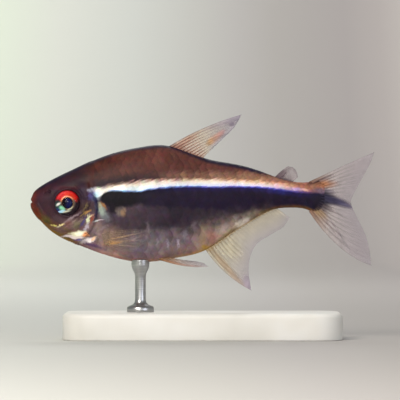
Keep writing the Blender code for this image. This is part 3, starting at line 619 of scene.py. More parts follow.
FLANK_MARKS = (
    ((19.2, -4.3), (0.3, 1.1), 5, 0.8, "b19b68", 0.3),
    ((19.35, -5.25), (0.4, 0.3), 0, 0.7, "b3923f", 0.75),
    ((20.15, -4.1), (0.5, 0.75), 12, 0.7, "a9796f", 0.7),
    ((21.5, -3.05), (0.6, 0.35), 30, 0.8, "b5a5a0", 0.5),
    ((22.4, -2.75), (0.3, 0.35), 0, 0.7, "a48e86", 0.6),
    ((27.95, 2.72), (0.75, 0.24), -22, 0.6, "1d1624", 0.95),  # dark root of the adipose fin
    ((29.7, 1.2), (0.8, 0.17), -8, 0.6, "b9a0cc", 0.85),  # lilac glints on the stalk
    ((30.6, 1.12), (0.45, 0.14), -8, 0.6, "dcae9e", 0.8),
    ((31.6, 1.05), (0.5, 0.16), -5, 0.7, "9a6a78", 0.6),
    ((32.4, 1.0), (0.7, 0.28), -8, 0.8, "766a80", 0.8),
    ((32.5, 1.75), (0.6, 0.3), 0, 0.8, "9c7050", 0.6),
    ((31.9, 2.12), (0.9, 0.2), 20, 0.7, "3a2a30", 0.7),
    ((23.2, -2.75), (0.55, 0.32), 30, 0.9, "e2d8cc", 0.9),
    ((24.0, -2.3), (0.45, 0.25), 28, 0.9, "d8cec8", 0.7),
    ((22.2, -3.5), (1.2, 0.2), 38, 0.6, "8f7a52", 0.6),  # line of the anal fin's muscles
    ((18.2, -2.9), (0.3, 0.5), -10, 0.8, "8a7d86", 0.5),
    ((17.2, -3.9), (0.22, 0.5), -6, 0.7, "8d8791", 0.6),
    ((13.0, -3.2), (0.2, 0.6), -12, 0.8, "8a7c82", 0.45),
    ((12.0, -5.6), (0.7, 0.25), -8, 0.8, "8b7a96", 0.5),
    ((16.4, -4.85), (0.12, 0.5), 0, 0.7, "bcb2c0", 0.55),
    ((15.3, -4.85), (0.1, 0.45), 0, 0.7, "b4aab8", 0.5),
    ((14.1, -4.6), (0.1, 0.4), -10, 0.7, "a79ca8", 0.4),
    ((9.0, -5.2), (1.2, 0.25), -14, 0.7, "8f7076", 0.5),
)


def edge_line(tree, place, points, places, values):
    """An edge read along the fish or up it, from its points, between the two ranges."""
    share = add(tree, "MapRange", {"Value": place, "From Min": places[0], "From Max": places[1]})
    curve = add(tree, "FloatCurve", {"Value": share})
    line = curve.node.mapping.curves[0]
    while len(line.points) < len(points):
        line.points.new(0.5, 0.5)
    for knot, point in zip(line.points, points):
        knot.location = [(p - low) / (high - low) for p, (low, high) in zip(point, (places, values))]
    curve.node.mapping.update()
    ends = {"Value": curve, "To Min": values[0], "To Max": values[1]}
    return add(tree, "MapRange", ends)


TOP_OF_BACK = "291f36"  # blue-black, along the very top
CLOUD_STRENGTH = 0.4
MARK_WANDER = (0.8, 0.0, 0.7)  # how far a mark's edge strays, in mm along, across and up
GILL_BAND = "241f4c"
GILL_BAND_WIDTHS = (0.32, 0.08)  # half widths in mm, where it is gone and where it is full
GUANINE_GLARE = 1.18


def skin_colours(tree, own):
    """The fish's markings and the noises they use, the same on skin and scales."""
    x, _, z = add(tree, "SeparateXYZ", {0: own}).node.outputs
    noise = {}
    for name, (size, tilt, detail) in NOISES.items():
        raw = stretched_noise(tree, own, size, detail, tilt)
        noise[name] = add(tree, "Math", {0: raw, 1: 0.5}, operation="SUBTRACT")
    colour = linear(TOP_OF_BACK)
    for edge, soft, breaker, amount, stops in LAYERS:
        level = edge_line(tree, x, edge, (0.0, BODY_SPAN), HEIGHTS)
        under = add(tree, "Math", {0: level, 1: z}, operation="SUBTRACT")
        broken = add(
            tree, "Math", {0: noise[breaker], 1: amount, 2: under}, operation="MULTIPLY_ADD"
        )
        mask = add(
            tree, "MapRange", {"Value": broken, "From Min": -soft, "From Max": soft},
            interpolation_type="SMOOTHSTEP",
        )
        tint, strength = colours_along(tree, x, stops, 0.0, BODY_SPAN)
        mask = add(tree, "Math", {0: mask, 1: strength}, operation="MULTIPLY")
        mix = {"Factor": mask, 6: colour, 7: tint}
        colour = add(tree, "Mix", mix, 2, data_type="RGBA")
    # The pigments lie in small clouds, some redder and some more slate.
    cloudy = {"Vector": own, "Scale": 1.9, "Detail": 4.0, "Roughness": 0.6}
    clouds = add(tree, "TexNoise", cloudy, "Color")
    mix = {"Factor": CLOUD_STRENGTH, 6: colour, 7: clouds}
    colour = add(tree, "Mix", mix, 2, data_type="RGBA", blend_type="OVERLAY")
    # The marks wander a little with the noises, so that none is a clean oval.
    wander = add(tree, "CombineXYZ", {0: noise["grain"], 2: noise["blotch"]})
    roughened = add(
        tree, "VectorMath", {0: wander, 1: MARK_WANDER, 2: own}, operation="MULTIPLY_ADD"
    )
    colour = lay_marks(tree, roughened, colour, HEAD_MARKS_AND_PAINTED_LIGHT + FLANK_MARKS)
    # A violet band follows the rear edge of the gill cover, and fades out at both its ends.
    edge = edge_line(tree, z, GILL_EDGE, HEIGHTS, (0.0, BODY_SPAN))
    behind = add(tree, "Math", {0: x, 1: edge}, operation="SUBTRACT")
    behind = add(tree, "Math", {0: noise["grain"], 1: 0.5, 2: behind}, operation="MULTIPLY_ADD")
    off_edge = add(tree, "Math", {0: behind}, operation="ABSOLUTE")
    mask = 1.0
    for value, gone, full, most in (
        (z, -2.5, -1.1, 0.8), (z, 1.1, 0.3, 1.0), (off_edge, *GILL_BAND_WIDTHS, 1.0),
    ):
        limits = {"Value": value, "From Min": gone, "From Max": full, "To Max": most}
        within = add(tree, "MapRange", limits)
        mask = add(tree, "Math", {0: mask, 1: within}, operation="MULTIPLY")
    mix = {"Factor": mask, 6: colour, 7: linear(GILL_BAND)}
    colour = add(tree, "Mix", mix, 2, data_type="RGBA")
    # Under strong light the pale guanine outshines the pigments by far.
    colour = add(tree, "Gamma", {"Color": colour, "Gamma": GUANINE_GLARE})
    return colour, noise, z


CELL_SPACING = 0.2


def finish_skin(tree, own, colour, noise, height):
    """Wet skin over the given colour; pale guanine is the glossiest and faintly metallic."""
    # Black pigment cells, about 0.1 mm apart in life; drawn at 0.2 mm, so that they show.
    cells = add(tree, "TexVoronoi", {"Vector": own, "Scale": 1 / CELL_SPACING}, "Distance")
    colour = shaded(tree, colour, cells, (0.12, 0.3), (0.62, 1.06), 0.55)
    colour = shaded(tree, colour, noise["blotch"], (-0.25, 0.25), (0.82, 1.18))
    bright = add(tree, "RGBToBW", {0: colour})
    looks = {
        "Base Color": colour, "IOR": 1.38, "Coat Weight": 0.06, "Coat Roughness": 0.2,
        "Coat IOR": 1.34,
    }
    for socket, dull, shiny in (
        ("Roughness", 0.42, 0.24), ("Metallic", 0.0, 0.2), ("Specular IOR Level", 0.12, 0.4),
    ):
        shine = {"Value": bright, "From Min": 0.25, "From Max": 0.8, "To Min": dull, "To Max": shiny}
        looks[socket] = add(tree, "MapRange", shine)
    fine = add(tree, "Math", {0: noise["grain"], 1: 0.35, 2: height}, operation="MULTIPLY_ADD")
    surface(tree, looks, fine, 0.5, 0.03)


skin_material, tree, own = start_material("living_skin")
colour, noise, level = skin_colours(tree, own)
finish_skin(tree, own, colour, noise, 0.0)
skin.data.materials.append(skin_material)


# Scales: thin round plates of bone in the skin, each overlapping the one behind it like a
# tile, in staggered rows along the flank. They start behind the gill cover, and are
# smallest on the narrow stalk of the tail.
SCALE_START = 6.3
SCALE_END = 32.2
ROW_HEIGHT = 0.86  # from one row to the next where the body is deepest
SCALE_ALONG = smooth_line(((6.0, 0.74), (12.0, 0.8), (20.0, 0.78), (28.0, 0.64), (33.0, 0.5)))
SCALE_SQUARES = (5, 4)  # along and across
SCALE_ROOT = -0.009  # heights over the sunk skin
SCALE_TIP = 0.021
SCALE_SHEET = 0.016
SCALE_OVERLAP = 1.75  # a scale's whole length over what shows of it
SCALE_ROUNDING = 0.34  # how much shorter it is at its sides, as a share
SCALE_TUCK = 0.1  # how far its root lies ahead of its place, in scales
SIDE_LAP = 1.04  # a scale's half height over the step from row to row
ROOT_NARROWING = 0.18
SCALE_CUP = 0.012  # how much lower its sides are, in mm
TILT_SPREAD = 0.003  # how much scales vary, in mm and as shares of a scale
SIZE_SPREAD = 0.04
SHIFT_SPREAD = 0.025
DEEPEST_ARC = 14.6  # from the back to the belly along the skin, where the rows are highest
FULL_REACH = 0.985  # the share of that arc that the rows cover
MOST_ROWS = 20
COAT_PATCH = 0.003

ARC_STEPS = 120
stations = np.linspace(SCALE_START - 2, BODY_END_X, 270)
quarter = np.linspace(0, math.pi / 2, ARC_STEPS)
arc_length, arc_angle = {}, {}
for up in (1, -1):
    lines = body_points(stations[:, None], up * quarter[None, :])
    run = np.cumsum(np.linalg.norm(np.diff(lines, axis=1), axis=2), axis=1)
    run = np.concatenate([np.zeros((len(stations), 1)), run], axis=1)
    arc_length[up] = run[:, -1]
    even = np.linspace(0, 1, ARC_STEPS)
    arc_angle[up] = np.array([np.interp(even * r[-1], r, quarter) for r in run])


def on_flank(x, arc):
    """Points and outward normals, at arc mm up from the widest level along the skin."""
    x = np.clip(x, stations[0], stations[-1])
    place = (x - stations[0]) / (stations[1] - stations[0])
    i = np.minimum(place.astype(int), len(stations) - 2)
    part = place - i
    angle = np.zeros_like(x)
    for up in (1, -1):
        whole = np.interp(x, stations, arc_length[up])
        share = np.abs(arc) / whole
        folded = np.minimum(share, 2 - share) * (ARC_STEPS - 1)
        j = np.clip(folded.astype(int), 0, ARC_STEPS - 2)
        rest = folded - j
        table = arc_angle[up]
        near = table[i, j] * (1 - rest) + table[i, j + 1] * rest
        far = table[i + 1, j] * (1 - rest) + table[i + 1, j + 1] * rest
        found = near * (1 - part) + far * part
        found = np.where(share > 1, math.pi - found, found)
        angle = np.where(np.sign(arc) == up, up * found, angle)
    small = 0.01
    along = body_points(x + small, angle) - body_points(x - small, angle)
    around = body_points(x, angle + small) - body_points(x, angle - small)
    normal = np.cross(along, around)
    normal /= np.linalg.norm(normal, axis=-1, keepdims=True)
    return body_points(x, angle), -normal


def thin_sheet(columns, rows):
    """A bmesh of a unit sheet of squares, with a thickness and closed round its edge."""
    bm = bmesh.new()
    bmesh.ops.create_grid(bm, x_segments=columns, y_segments=rows, size=0.5)
    bmesh.ops.solidify(bm, geom=bm.faces[:], thickness=0.1)
    bmesh.ops.recalc_face_normals(bm, faces=bm.faces)
    return bm


def scale_roots():
    """Where each scale of one side is rooted, as x, arc, length and height."""
    found = []
    x = SCALE_START
    column = 0
    while x < SCALE_END:
        length = float(SCALE_ALONG(x))
        reach_up, reach_down = (float(np.interp(x, stations, arc_length[up])) for up in (1, -1))
        row_height = ROW_HEIGHT * ((reach_up + reach_down) / DEEPEST_ARC) ** 0.5
        stagger = column % 2
        for row in range(-MOST_ROWS, MOST_ROWS + 1):
            if (row + stagger) % 2:
                continue
            arc = (row + 0.5) * row_height
            if -reach_down * FULL_REACH < arc < reach_up * FULL_REACH:
                found.append((x, arc, length, row_height))
        x += length / 2
        column += 1
    return np.array(found)


def make_scales(name, side):
    """One side's coat, side 1 for the fish's right, as copies of one small plate."""
    roots = scale_roots()
    level = on_flank(roots[:, 0], roots[:, 1])[0][:, 2]
    clear = roots[:, 0] > gill_edge(level) - 0.1
    roots = roots[clear]
    count = len(roots)
    bm = thin_sheet(*SCALE_SQUARES)
    for rim_edge in bm.edges:
        rim_edge.smooth = rim_edge.calc_face_angle() < 1
    plate = mesh_object(name + "_plate", bm)
    own = coordinates(plate.data)
    t = own[:, 0] + 0.5
    u = own[:, 1] * 2
    top = own[:, 2] > own[:, 2].mean()
    copies = plate.modifiers.new("copies", "ARRAY")
    copies.count = count
    graph = bpy.context.evaluated_depsgraph_get()
    mesh = bpy.data.meshes.new_from_object(plate.evaluated_get(graph))
    bpy.data.objects.remove(plate)
    coat = bpy.data.objects.new(name, mesh)
    bpy.context.scene.collection.objects.link(coat)

    root_x, root_arc, length, height = (column[:, None] for column in roots.T)
    tilt = rng.normal(0, TILT_SPREAD, (count, 1))
    size = rng.normal(1, SIZE_SPREAD, (count, 1))
    shift = rng.normal(0, SHIFT_SPREAD, (count, 1))
    rounded = 1 - SCALE_ROUNDING * u**2 * t
    x = root_x + length * (SCALE_OVERLAP * size * t * rounded - SCALE_TUCK + shift)
    arc = root_arc + height * SIDE_LAP * u * (1 - ROOT_NARROWING * (1 - t) ** 2) * size
    lift = SCALE_ROOT + (SCALE_TIP - SCALE_ROOT + tilt) * t - SCALE_CUP * u**2 - SCALE_DEPTH
    lift = lift - np.where(top, 0.0, SCALE_SHEET)
    place, normal = on_flank(np.broadcast_to(x, (count, len(t))), arc)
    points = place + normal * lift[..., None]
    if side < 0:
        points[..., 1] *= -1
    set_coordinates(mesh, placed(swayed(points.reshape(-1, 3))))
    if side > 0:
        mesh.flip_normals()

    corner = np.empty(len(mesh.loops), np.int32)
    mesh.loops.foreach_get("vertex_index", corner)
    copy, spot = corner // len(t), corner % len(t)
    whole_arc = np.interp(root_x[:, 0], stations, arc_length[1] + arc_length[-1])
    girth = 0.5 + 0.49 * root_arc[:, 0] / whole_arc
    patch = np.stack([root_x[:, 0] / BODY_END_X, girth], axis=1)[copy]
    patch = 0.01 + 0.98 * patch + COAT_PATCH * own[spot, :2]
    mesh.uv_layers.new(name="OFBake").data.foreach_set("uv", patch.astype(np.float32).ravel())
    rim = np.clip(1 - 1.9 * (1 - t), 0, 1)
    rim = np.maximum(rim, np.abs(u) ** 3 * 0.8)
    tone = rng.normal(0, 1, (count, 1))
    ring = np.hypot(t - 0.15, u * 0.45)
    for word, values in (("rim", rim), ("tone", tone), ("ring", ring)):
        keep_values(mesh, word, np.broadcast_to(values, (count, len(t))))
    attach(coat, "root")
    return coat


# A scale is clear bone over the pigment in its pocket: it shows the skin's colour, dark at
# its free edge where the pigment gathers, with faint growth rings.
RING_TURNS = 70.0  # radians of ripple over a scale's length: about eleven growth rings
RING_HEIGHT = 0.08
scale_material, tree, own = start_material("scales_over_pigment")
colour, noise, level = skin_colours(tree, own)
rim, tone, ring = (
    add(tree, "Attribute", out="Fac", attribute_name=word) for word in ("rim", "tone", "ring")
)
colour = shaded(tree, colour, tone, (-2.5, 2.5), (0.76, 1.28))
limits = {"Value": level, "From Min": -1.0, "From Max": 3.4, "To Min": 0.2, "To Max": 0.3}
darkened = add(tree, "MapRange", limits)
pale = add(tree, "RGBToBW", {0: colour})
dark_share = add(tree, "MapRange", {"Value": pale, "From Min": 0.5, "From Max": 0.15})
mask = add(tree, "Math", {0: rim, 1: 2.2}, operation="POWER")
mask = add(tree, "Math", {0: mask, 1: darkened}, operation="MULTIPLY")
mask = add(tree, "Math", {0: mask, 1: dark_share}, operation="MULTIPLY")
mix = {"Factor": mask, 6: colour, 7: linear("22141c")}
colour = add(tree, "Mix", mix, 2, data_type="RGBA")
rings = add(tree, "Math", {0: ring, 1: RING_TURNS}, operation="MULTIPLY")
rings = add(tree, "Math", {0: rings}, operation="SINE")
rings = add(tree, "Math", {0: rings, 1: RING_HEIGHT}, operation="MULTIPLY")
finish_skin(tree, own, colour, noise, rings)
for name, side in (("scales_left", -1), ("scales_right", 1)):
    make_scales(name, side).data.materials.append(scale_material)


# Eyes: large and round, set in the side of the head. The iris is a shallow dish of silver
# under colour, bright red above the pupil and mint and pale blue below it, with painted
# glints among them; the pupil is an open hole with the dark ball of the lens in it, under
# a clear cornea.
IRIS_MESH = (96, 80)  # segments and rings
LENS_MESH = (64, 48)
CORNEA_MESH = (80, 60)
PUPIL = 0.42  # as shares of the eye's radius
PUPIL_SHIFT = (0.01, -0.03)
IRIS_DISH = 0.15  # depths and heights in mm
PUPIL_LIP = 0.035
PUPIL_DEPTH = 0.22
LENS_RADIUS = 0.66
LENS_FLATNESS = 0.62
LENS_FORWARD = 0.2  # from the middle of the eye
CORNEA_CLEAR = 0.035  # over the middle of the iris
CORNEA_SPREAD = 0.985


def eye_ball(name, segments, rings):
    """A unit ball with its pole across the fish, as a mesh object and its points."""
    bm = bmesh.new()
    bmesh.ops.create_uvsphere(bm, u_segments=segments, v_segments=rings, radius=1.0)
    bmesh.ops.rotate(bm, verts=bm.verts, matrix=Matrix.Rotation(-math.pi / 2, 3, "X"))
    obj = mesh_object(name, bm)
    return obj, coordinates(obj.data)


def set_eye_part(obj, local, side):
    """Places points given from the eye's centre, y outwards, on one side of the head."""
    x, y, z = EYE_CENTRE
    points = local * np.array([1, side, 1]) + np.array([x, side * y, z])
    set_coordinates(obj.data, placed(points))
    if side < 0:
        obj.data.flip_normals()
    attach(obj, "root")


# The iris is painted by its own polar places: r from the middle of the pupil in eye radii,
# and the turn about it, counted from the rear round over the top.
iris_material, tree, own = start_material("iris_guanine_and_red")
centred = add(
    tree, "Mapping",
    {
        "Vector": own, "Location": (EYE_CENTRE[0], 0, EYE_CENTRE[2]),
        "Scale": (EYE_RADIUS, 1e6, EYE_RADIUS),
    },
    vector_type="TEXTURE",
)
radius = add(tree, "VectorMath", {0: centred}, "Value", operation="LENGTH")
x, _, z = add(tree, "SeparateXYZ", {0: centred}).node.outputs
turn = add(tree, "Math", {0: z, 1: x}, operation="ARCTAN2")
fibre_place = add(tree, "CombineXYZ", {0: turn, 1: radius})
fibres = stretched_noise(tree, fibre_place, (0.06, 0.5, 1.0), 3.0)
fibres = add(tree, "Math", {0: fibres, 1: 0.5}, operation="SUBTRACT")
frayed = add(tree, "Math", {0: fibres, 1: 0.16, 2: radius}, operation="MULTIPLY_ADD")
ground = colours_along(tree, frayed, (
    (0.36, "0d0a10"), (0.44, "5e4032"), (0.52, "574840"), (0.66, "33252c"), (0.85, "241a22"),
    (1.0, "2a1c26"),
), 0.36, 1.0)[0]
BOW_SOFTNESS = 0.03  # across a bow
# Each bow of colour: its two radii, the turn it is centred on, its half reach and softness.
IRIS_BOWS = (
    (0.84, 1.04, 1.55, 1.35, 0.2, "6a1418"),
    (0.54, 0.92, 1.62, 1.18, 0.16, "b41017"),
    (0.58, 0.78, 1.05, 0.85, 0.25, "c42c18"),
    (0.45, 0.54, 1.6, 1.25, 0.3, "f0946c"),
    (0.46, 0.55, -0.1, 0.75, 0.35, "6c5a48"),
    (0.45, 0.55, -1.1, 0.45, 0.3, "c4c2a4"),
)
colour = ground
for inner, outer, middle, half, soft, tint in IRIS_BOWS:
    mask = 1.0
    for value, centre, reach, blur in (
        (frayed, (inner + outer) / 2, (outer - inner) / 2, BOW_SOFTNESS),
        (turn, middle, half, soft),
    ):
        off = add(tree, "Math", {0: value, 1: centre}, operation="SUBTRACT")
        off = add(tree, "Math", {0: off}, operation="ABSOLUTE")
        limits = {"Value": off, "From Min": reach + blur, "From Max": reach - blur}
        within = add(tree, "MapRange", limits, interpolation_type="SMOOTHSTEP")
        mask = add(tree, "Math", {0: mask, 1: within}, operation="MULTIPLY")
    mix = {"Factor": mask, 6: colour, 7: linear(tint)}
    colour = add(tree, "Mix", mix, 2, data_type="RGBA")
ex, ez = EYE_CENTRE[0], EYE_CENTRE[2]
# Patches before and under the pupil: the iris's own dark green, mint and pale blue, lit up in places
# as painted glints; the small white spot ahead of the pupil is a painted highlight.
IRIS_MARKS_AND_PAINTED_GLINTS = (
    ((ex - 1.0, ez - 0.55), (0.42, 0.62), 20, 0.7, "2c4440", 0.9),
    ((ex - 1.1, ez - 0.86), (0.3, 0.24), 55, 0.6, "1a2c66", 0.95),
    ((ex - 1.0, ez - 0.15), (0.25, 0.12), 34, 0.7, "e8e6e2", 0.9),
    ((ex - 0.58, ez - 0.6), (0.3, 0.21), -28, 0.7, "90dcb4", 1.0),
    ((ex - 0.96, ez - 1.02), (0.26, 0.1), 12, 0.6, "9fb4f0", 0.9),
    ((ex - 0.6, ez - 0.94), (0.34, 0.14), 12, 0.6, "b8e4fa", 1.0),
    ((ex - 0.1, ez - 0.95), (0.42, 0.09), 14, 0.6, "dcdcc4", 0.9),
)
colour = lay_marks(tree, own, colour, IRIS_MARKS_AND_PAINTED_GLINTS)
colour = shaded(tree, colour, fibres, (-0.3, 0.3), (0.75, 1.25))
rough = add(tree, "MapRange", {"Value": fibres, "To Min": 0.32, "To Max": 0.5})
surface(tree, {
    "Base Color": colour, "Roughness": rough, "Metallic": 0.1, "IOR": 1.38,
    "Specular IOR Level": 0.25,
}, fibres, 0.4, 0.03)

# The lens is a hard clear ball before the dark back of the eye, so it looks black,
# brown-black at its front; the navy towards its rear is a painted blue sheen.
lens_material, tree, own = start_material("lens_over_dark_eye")
deep = add(tree, "TexNoise", {"Vector": own, "Scale": 1.4, "Detail": 1.0})
across = add(tree, "SeparateXYZ", {0: own})
across = add(tree, "Math", {0: deep, 1: 0.5, 2: across}, operation="MULTIPLY_ADD")
# painted sheen: navy over the rear half of the lens
colour = colours_along(tree, across, (
    (3.6, "1c0d08"), (4.1, "0e0a14"), (4.5, "14184a"), (5.0, "0c1a30"),
), 3.4, 5.2)[0]
smear = add(tree, "MapRange", {"Value": deep, "To Min": 0.06, "To Max": 0.14})
surface(tree, {
    "Base Color": colour, "Roughness": smear, "IOR": 1.45, "Specular IOR Level": 0.1,
})

# The cornea is clear and wet: it shows only by its highlights.
cornea_material, tree, own = start_material("clear_cornea")
film = add(tree, "TexNoise", {"Vector": own, "Scale": 2.0, "Detail": 2.0})
film = add(tree, "MapRange", {"Value": film, "To Min": 0.02, "To Max": 0.08})
clear = add(tree, "BsdfTransparent")
gloss = add(tree, "BsdfAnisotropic", {"Roughness": film})
edge_on = add(tree, "Fresnel", {"IOR": 1.376})
edge_on = add(tree, "Math", {0: edge_on, 1: 0.2}, operation="MULTIPLY")
both = add(tree, "MixShader", {0: edge_on, 1: clear, 2: gloss})
add(tree, "OutputMaterial", {"Surface": both})

for side, word in ((-1, "left"), (1, "right")):
    iris, ball = eye_ball(f"iris_{word}", *IRIS_MESH)
    r = np.hypot(ball[:, 0], ball[:, 2])
    front = ball[:, 1] > 0
    hole_r = np.hypot(ball[:, 0] - PUPIL_SHIFT[0], ball[:, 2] - PUPIL_SHIFT[1])
    depth = np.sqrt(np.clip(1 - r * r, 0, 1)) * EYE_HALF_DEPTH
    dish = IRIS_DISH * (1 - smooth_step(0.72, 0.97, r))
    lip = PUPIL_LIP * ridge(hole_r - PUPIL - 0.05, 0.05)
    hole = PUPIL_DEPTH * (1 - smooth_step(PUPIL - 0.03, PUPIL + 0.015, hole_r))
    y = np.where(front, depth - dish + lip - hole, -depth)
    local = np.stack([ball[:, 0] * EYE_RADIUS, y, ball[:, 2] * EYE_RADIUS], axis=1)
    set_eye_part(iris, local, side)
    iris.data.materials.append(iris_material)
    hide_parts(f"eye_{word}")

    lens, ball = eye_ball(f"lens_{word}", *LENS_MESH)
    local = ball * LENS_RADIUS * np.array([1, LENS_FLATNESS, 1])
    shift_x, shift_z = (shift * EYE_RADIUS for shift in PUPIL_SHIFT)
    local += np.array([shift_x, LENS_FORWARD, shift_z])
    set_eye_part(lens, local, side)
    lens.data.materials.append(lens_material)

    cornea, ball = eye_ball(f"cornea_{word}", *CORNEA_MESH)
    front = ball[:, 1] > 0
    bulge = EYE_HALF_DEPTH + CORNEA_CLEAR
    y = np.where(front, ball[:, 1] * bulge, ball[:, 1] * 0.1)
    spread = EYE_RADIUS * CORNEA_SPREAD
    set_eye_part(cornea, np.stack([ball[:, 0] * spread, y, ball[:, 2] * spread], axis=1), side)
    cornea.data.materials.append(cornea_material)


# Back fin: a clear skin over eleven bony rays. Each ray is stout and single at its root,
# splits once or twice towards the free edge, and is made of short joints end to end.
# Every fin is one closed sheet: the rays are raised in both of its faces.
FIN_ROOT_HALF = 0.16  # half thicknesses in mm, of the flesh at the root and of the web
WEB_HALF = 0.022
RAY_HALF = 0.085
RAY_SQUARES = 12  # columns of the sheet from one ray to the next
FORKS = ((0.3, 1.0, 0.26), (0.62, 1.05, 0.13))  # start and end along a ray, and spread
RAY_TAPER = 0.72
RAISED_JOINTS = 22  # to a ray, formed in the mesh
JOINT_NECK = 0.12
PAINTED_JOINTS = 26.0
WEB_NOTCH = 0.012  # as a share of the ray's length
RIPPLE_TURNS = (17, 3)  # radians of ripple along the fin and out along a ray


def margin_line(points):
    """A fin's free edge, as a function of the share of the way from first ray to last."""
    last = len(points) - 1
    axes = [smooth_line([(i / last, p[axis]) for i, p in enumerate(points)]) for axis in range(3)]
    return lambda share: np.stack([axis(share) for axis in axes], axis=-1)


def ray_crests(share, reach, rays, forks):
    """How much of a ray's full rise stands at each place, its branches spread apart."""
    spacing = 1 / (rays - 1)
    place = share / spacing
    nearest = np.round(place)
    off = place - nearest
    single = (nearest == 0) | (nearest == rays - 1)
    crest = np.zeros_like(off)
    first, second = (
        np.where(single, 0, smooth_step(start, end, reach)) * (spread if forks > order else 0.0)
        for order, (start, end, spread) in enumerate(FORKS)
    )
    width = 0.15 - 0.085 * smooth_step(0.2, 0.9, reach)
    for one in (-1, 1):
        for two in (-1, 1):
            crest = np.maximum(crest, ridge(off - one * first - two * second, width))
    return crest


def make_fin(name, root, margin, bow, rays, rows, forks=2, side=1, ripple=0.05, web=WEB_HALF):
    """A fin as one closed sheet; side -1 mirrors it to the fish's left.

    root gives a ray's lower end at a share of the way along the fin, margin its tip, and bow
    the swing of its middle.
    """
    fin = mesh_object(name, thin_sheet((rays - 1) * RAY_SQUARES, rows))
    unit = coordinates(fin.data)
    share = np.clip(unit[:, 0] + 0.5, 0, 1)
    reach = np.clip(unit[:, 1] + 0.5, 0, 1)
    face = np.where(unit[:, 2] > unit[:, 2].mean(), 1.0, -1.0)
    free_edge = margin_line(margin)
    crest = ray_crests(share, reach, rays, forks)
    # The web is notched a little between the tips of the rays.
    notch = 1 - WEB_NOTCH * (1 - crest) * smooth_step(0.75, 1.0, reach)

    def middle(share, reach):
        start, end = root(share), free_edge(share)
        swing = bow(share) * (4 * reach * (1 - reach))[:, None]
        line = start + (end - start) * reach[:, None] + swing
        turns = share * RIPPLE_TURNS[0] + reach * RIPPLE_TURNS[1]
        line[:, 1] += ripple * np.sin(turns) * reach**1.5
        return line

    def normal(share, reach):
        small = 2e-3
        low, high = np.maximum(reach - small, 0), np.minimum(reach + small, 1)
        first, last = np.maximum(share - small, 0), np.minimum(share + small, 1)
        up = middle(share, high) - middle(share, low)
        along = middle(last, reach) - middle(first, reach)
        across = np.cross(along, up)
        return across / np.maximum(np.linalg.norm(across, axis=1, keepdims=True), 1e-12)

    reach_in = reach * notch
    thick = web + (FIN_ROOT_HALF - web) * (1 - smooth_step(0.0, 0.16, reach))
    taper = 1 - RAY_TAPER * smooth_step(0.05, 1.0, reach)
    necks = ridge((reach * RAISED_JOINTS) % 1 - 0.5, 0.16) * smooth_step(0.25, 0.4, reach)
    half = thick + RAY_HALF * crest * taper * (1 - JOINT_NECK * necks)
    points = middle(share, reach_in) + normal(share, reach_in) * (face * half)[:, None]
    points[:, 1] *= side
    set_coordinates(fin.data, placed(swayed(points)))
    keep_values(fin.data, "ray", crest)
    keep_values(fin.data, "reach", reach)
    # The sheet's faces all point one way round its closed edge: turn it if that is inwards.
    bm = bmesh.new()
    bm.from_mesh(fin.data)
    if bm.calc_volume(signed=True) < 0:
        bmesh.ops.reverse_faces(bm, faces=bm.faces)
    bm.to_mesh(fin.data)
    bm.free()
    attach(fin, "root")
    return fin


JOINT_COLOUR = "3a2a2c"
PIGMENT_DENSITY = 0.6


def fin_material(name, web, rays, specked, marks=()):
    """Clear fin skin over tinted bone.

    web and rays are colours from the root, 0, to the tips, 1, with how solid each looks,
    specked is how much its pigment specks show, and marks are ovals of pigment laid over it.
    """
    material, tree, own = start_material(name)
    ray, reach = (
        add(tree, "Attribute", out="Fac", attribute_name=word) for word in ("ray", "reach")
    )
    web_colour, web_alpha = colours_along(tree, reach, web, 0.0, 1.0)
    ray_colour, ray_alpha = colours_along(tree, reach, rays, 0.0, 1.0)
    veins = add(tree, "TexNoise", {"Vector": own, "Scale": 1.6, "Detail": 4.0})
    specks = add(tree, "TexVoronoi", {"Vector": own, "Scale": 6.0}, "Distance")
    # Joints of the rays, drawn as thin dark rings over the outer two thirds.
    steps = add(tree, "Math", {0: reach, 1: PAINTED_JOINTS}, operation="MULTIPLY")
    steps = add(tree, "Math", {0: steps}, operation="FRACT")
    rings = add(tree, "MapRange", {"Value": steps, "From Min": 0.82, "From Max": 0.95})
    limits = {"Value": reach, "From Min": 0.2, "From Max": 0.4, "To Max": 0.45}
    outer = add(tree, "MapRange", limits)
    rings = add(tree, "Math", {0: rings, 1: outer}, operation="MULTIPLY")
    mix = {"Factor": rings, 6: ray_colour, 7: linear(JOINT_COLOUR)}
    ray_colour = add(tree, "Mix", mix, 2, data_type="RGBA")
    on_ray = add(tree, "MapRange", {"Value": ray, "From Min": 0.25, "From Max": 0.7})
    mix = {"Factor": on_ray, 6: web_colour, 7: ray_colour}
    colour = add(tree, "Mix", mix, 2, data_type="RGBA")
    colour = lay_marks(tree, own, colour, marks)
    colour = shaded(tree, colour, veins, (0.3, 0.7), (0.82, 1.15))
    alpha = add(tree, "MapRange", {"Value": on_ray, "To Min": web_alpha, "To Max": ray_alpha})
    # Pigment is denser than the clear web it lies in.
    white_marks = [(*mark[:4], "ffffff", mark[5]) for mark in marks]
    pigment = lay_marks(tree, own, linear("000000"), white_marks)
    pigment = add(tree, "RGBToBW", {0: pigment})
    solid = {0: pigment, 1: PIGMENT_DENSITY, 2: alpha}
    alpha = add(tree, "Math", solid, operation="MULTIPLY_ADD")
    limits = {"Value": specks, "From Min": 0.1, "From Max": 0.2, "To Min": specked, "To Max": 0.0}
    dotted = add(tree, "MapRange", limits)
    alpha = add(tree, "Math", {0: alpha, 1: dotted}, operation="ADD", use_clamp=True)
    rough = add(tree, "MapRange", {"Value": veins, "To Min": 0.3, "To Max": 0.5})
    looks = {"Base Color": colour, "Roughness": rough, "Alpha": alpha, "IOR": 1.4}
    surface(tree, looks, veins, 0.3, 0.02)
    return material


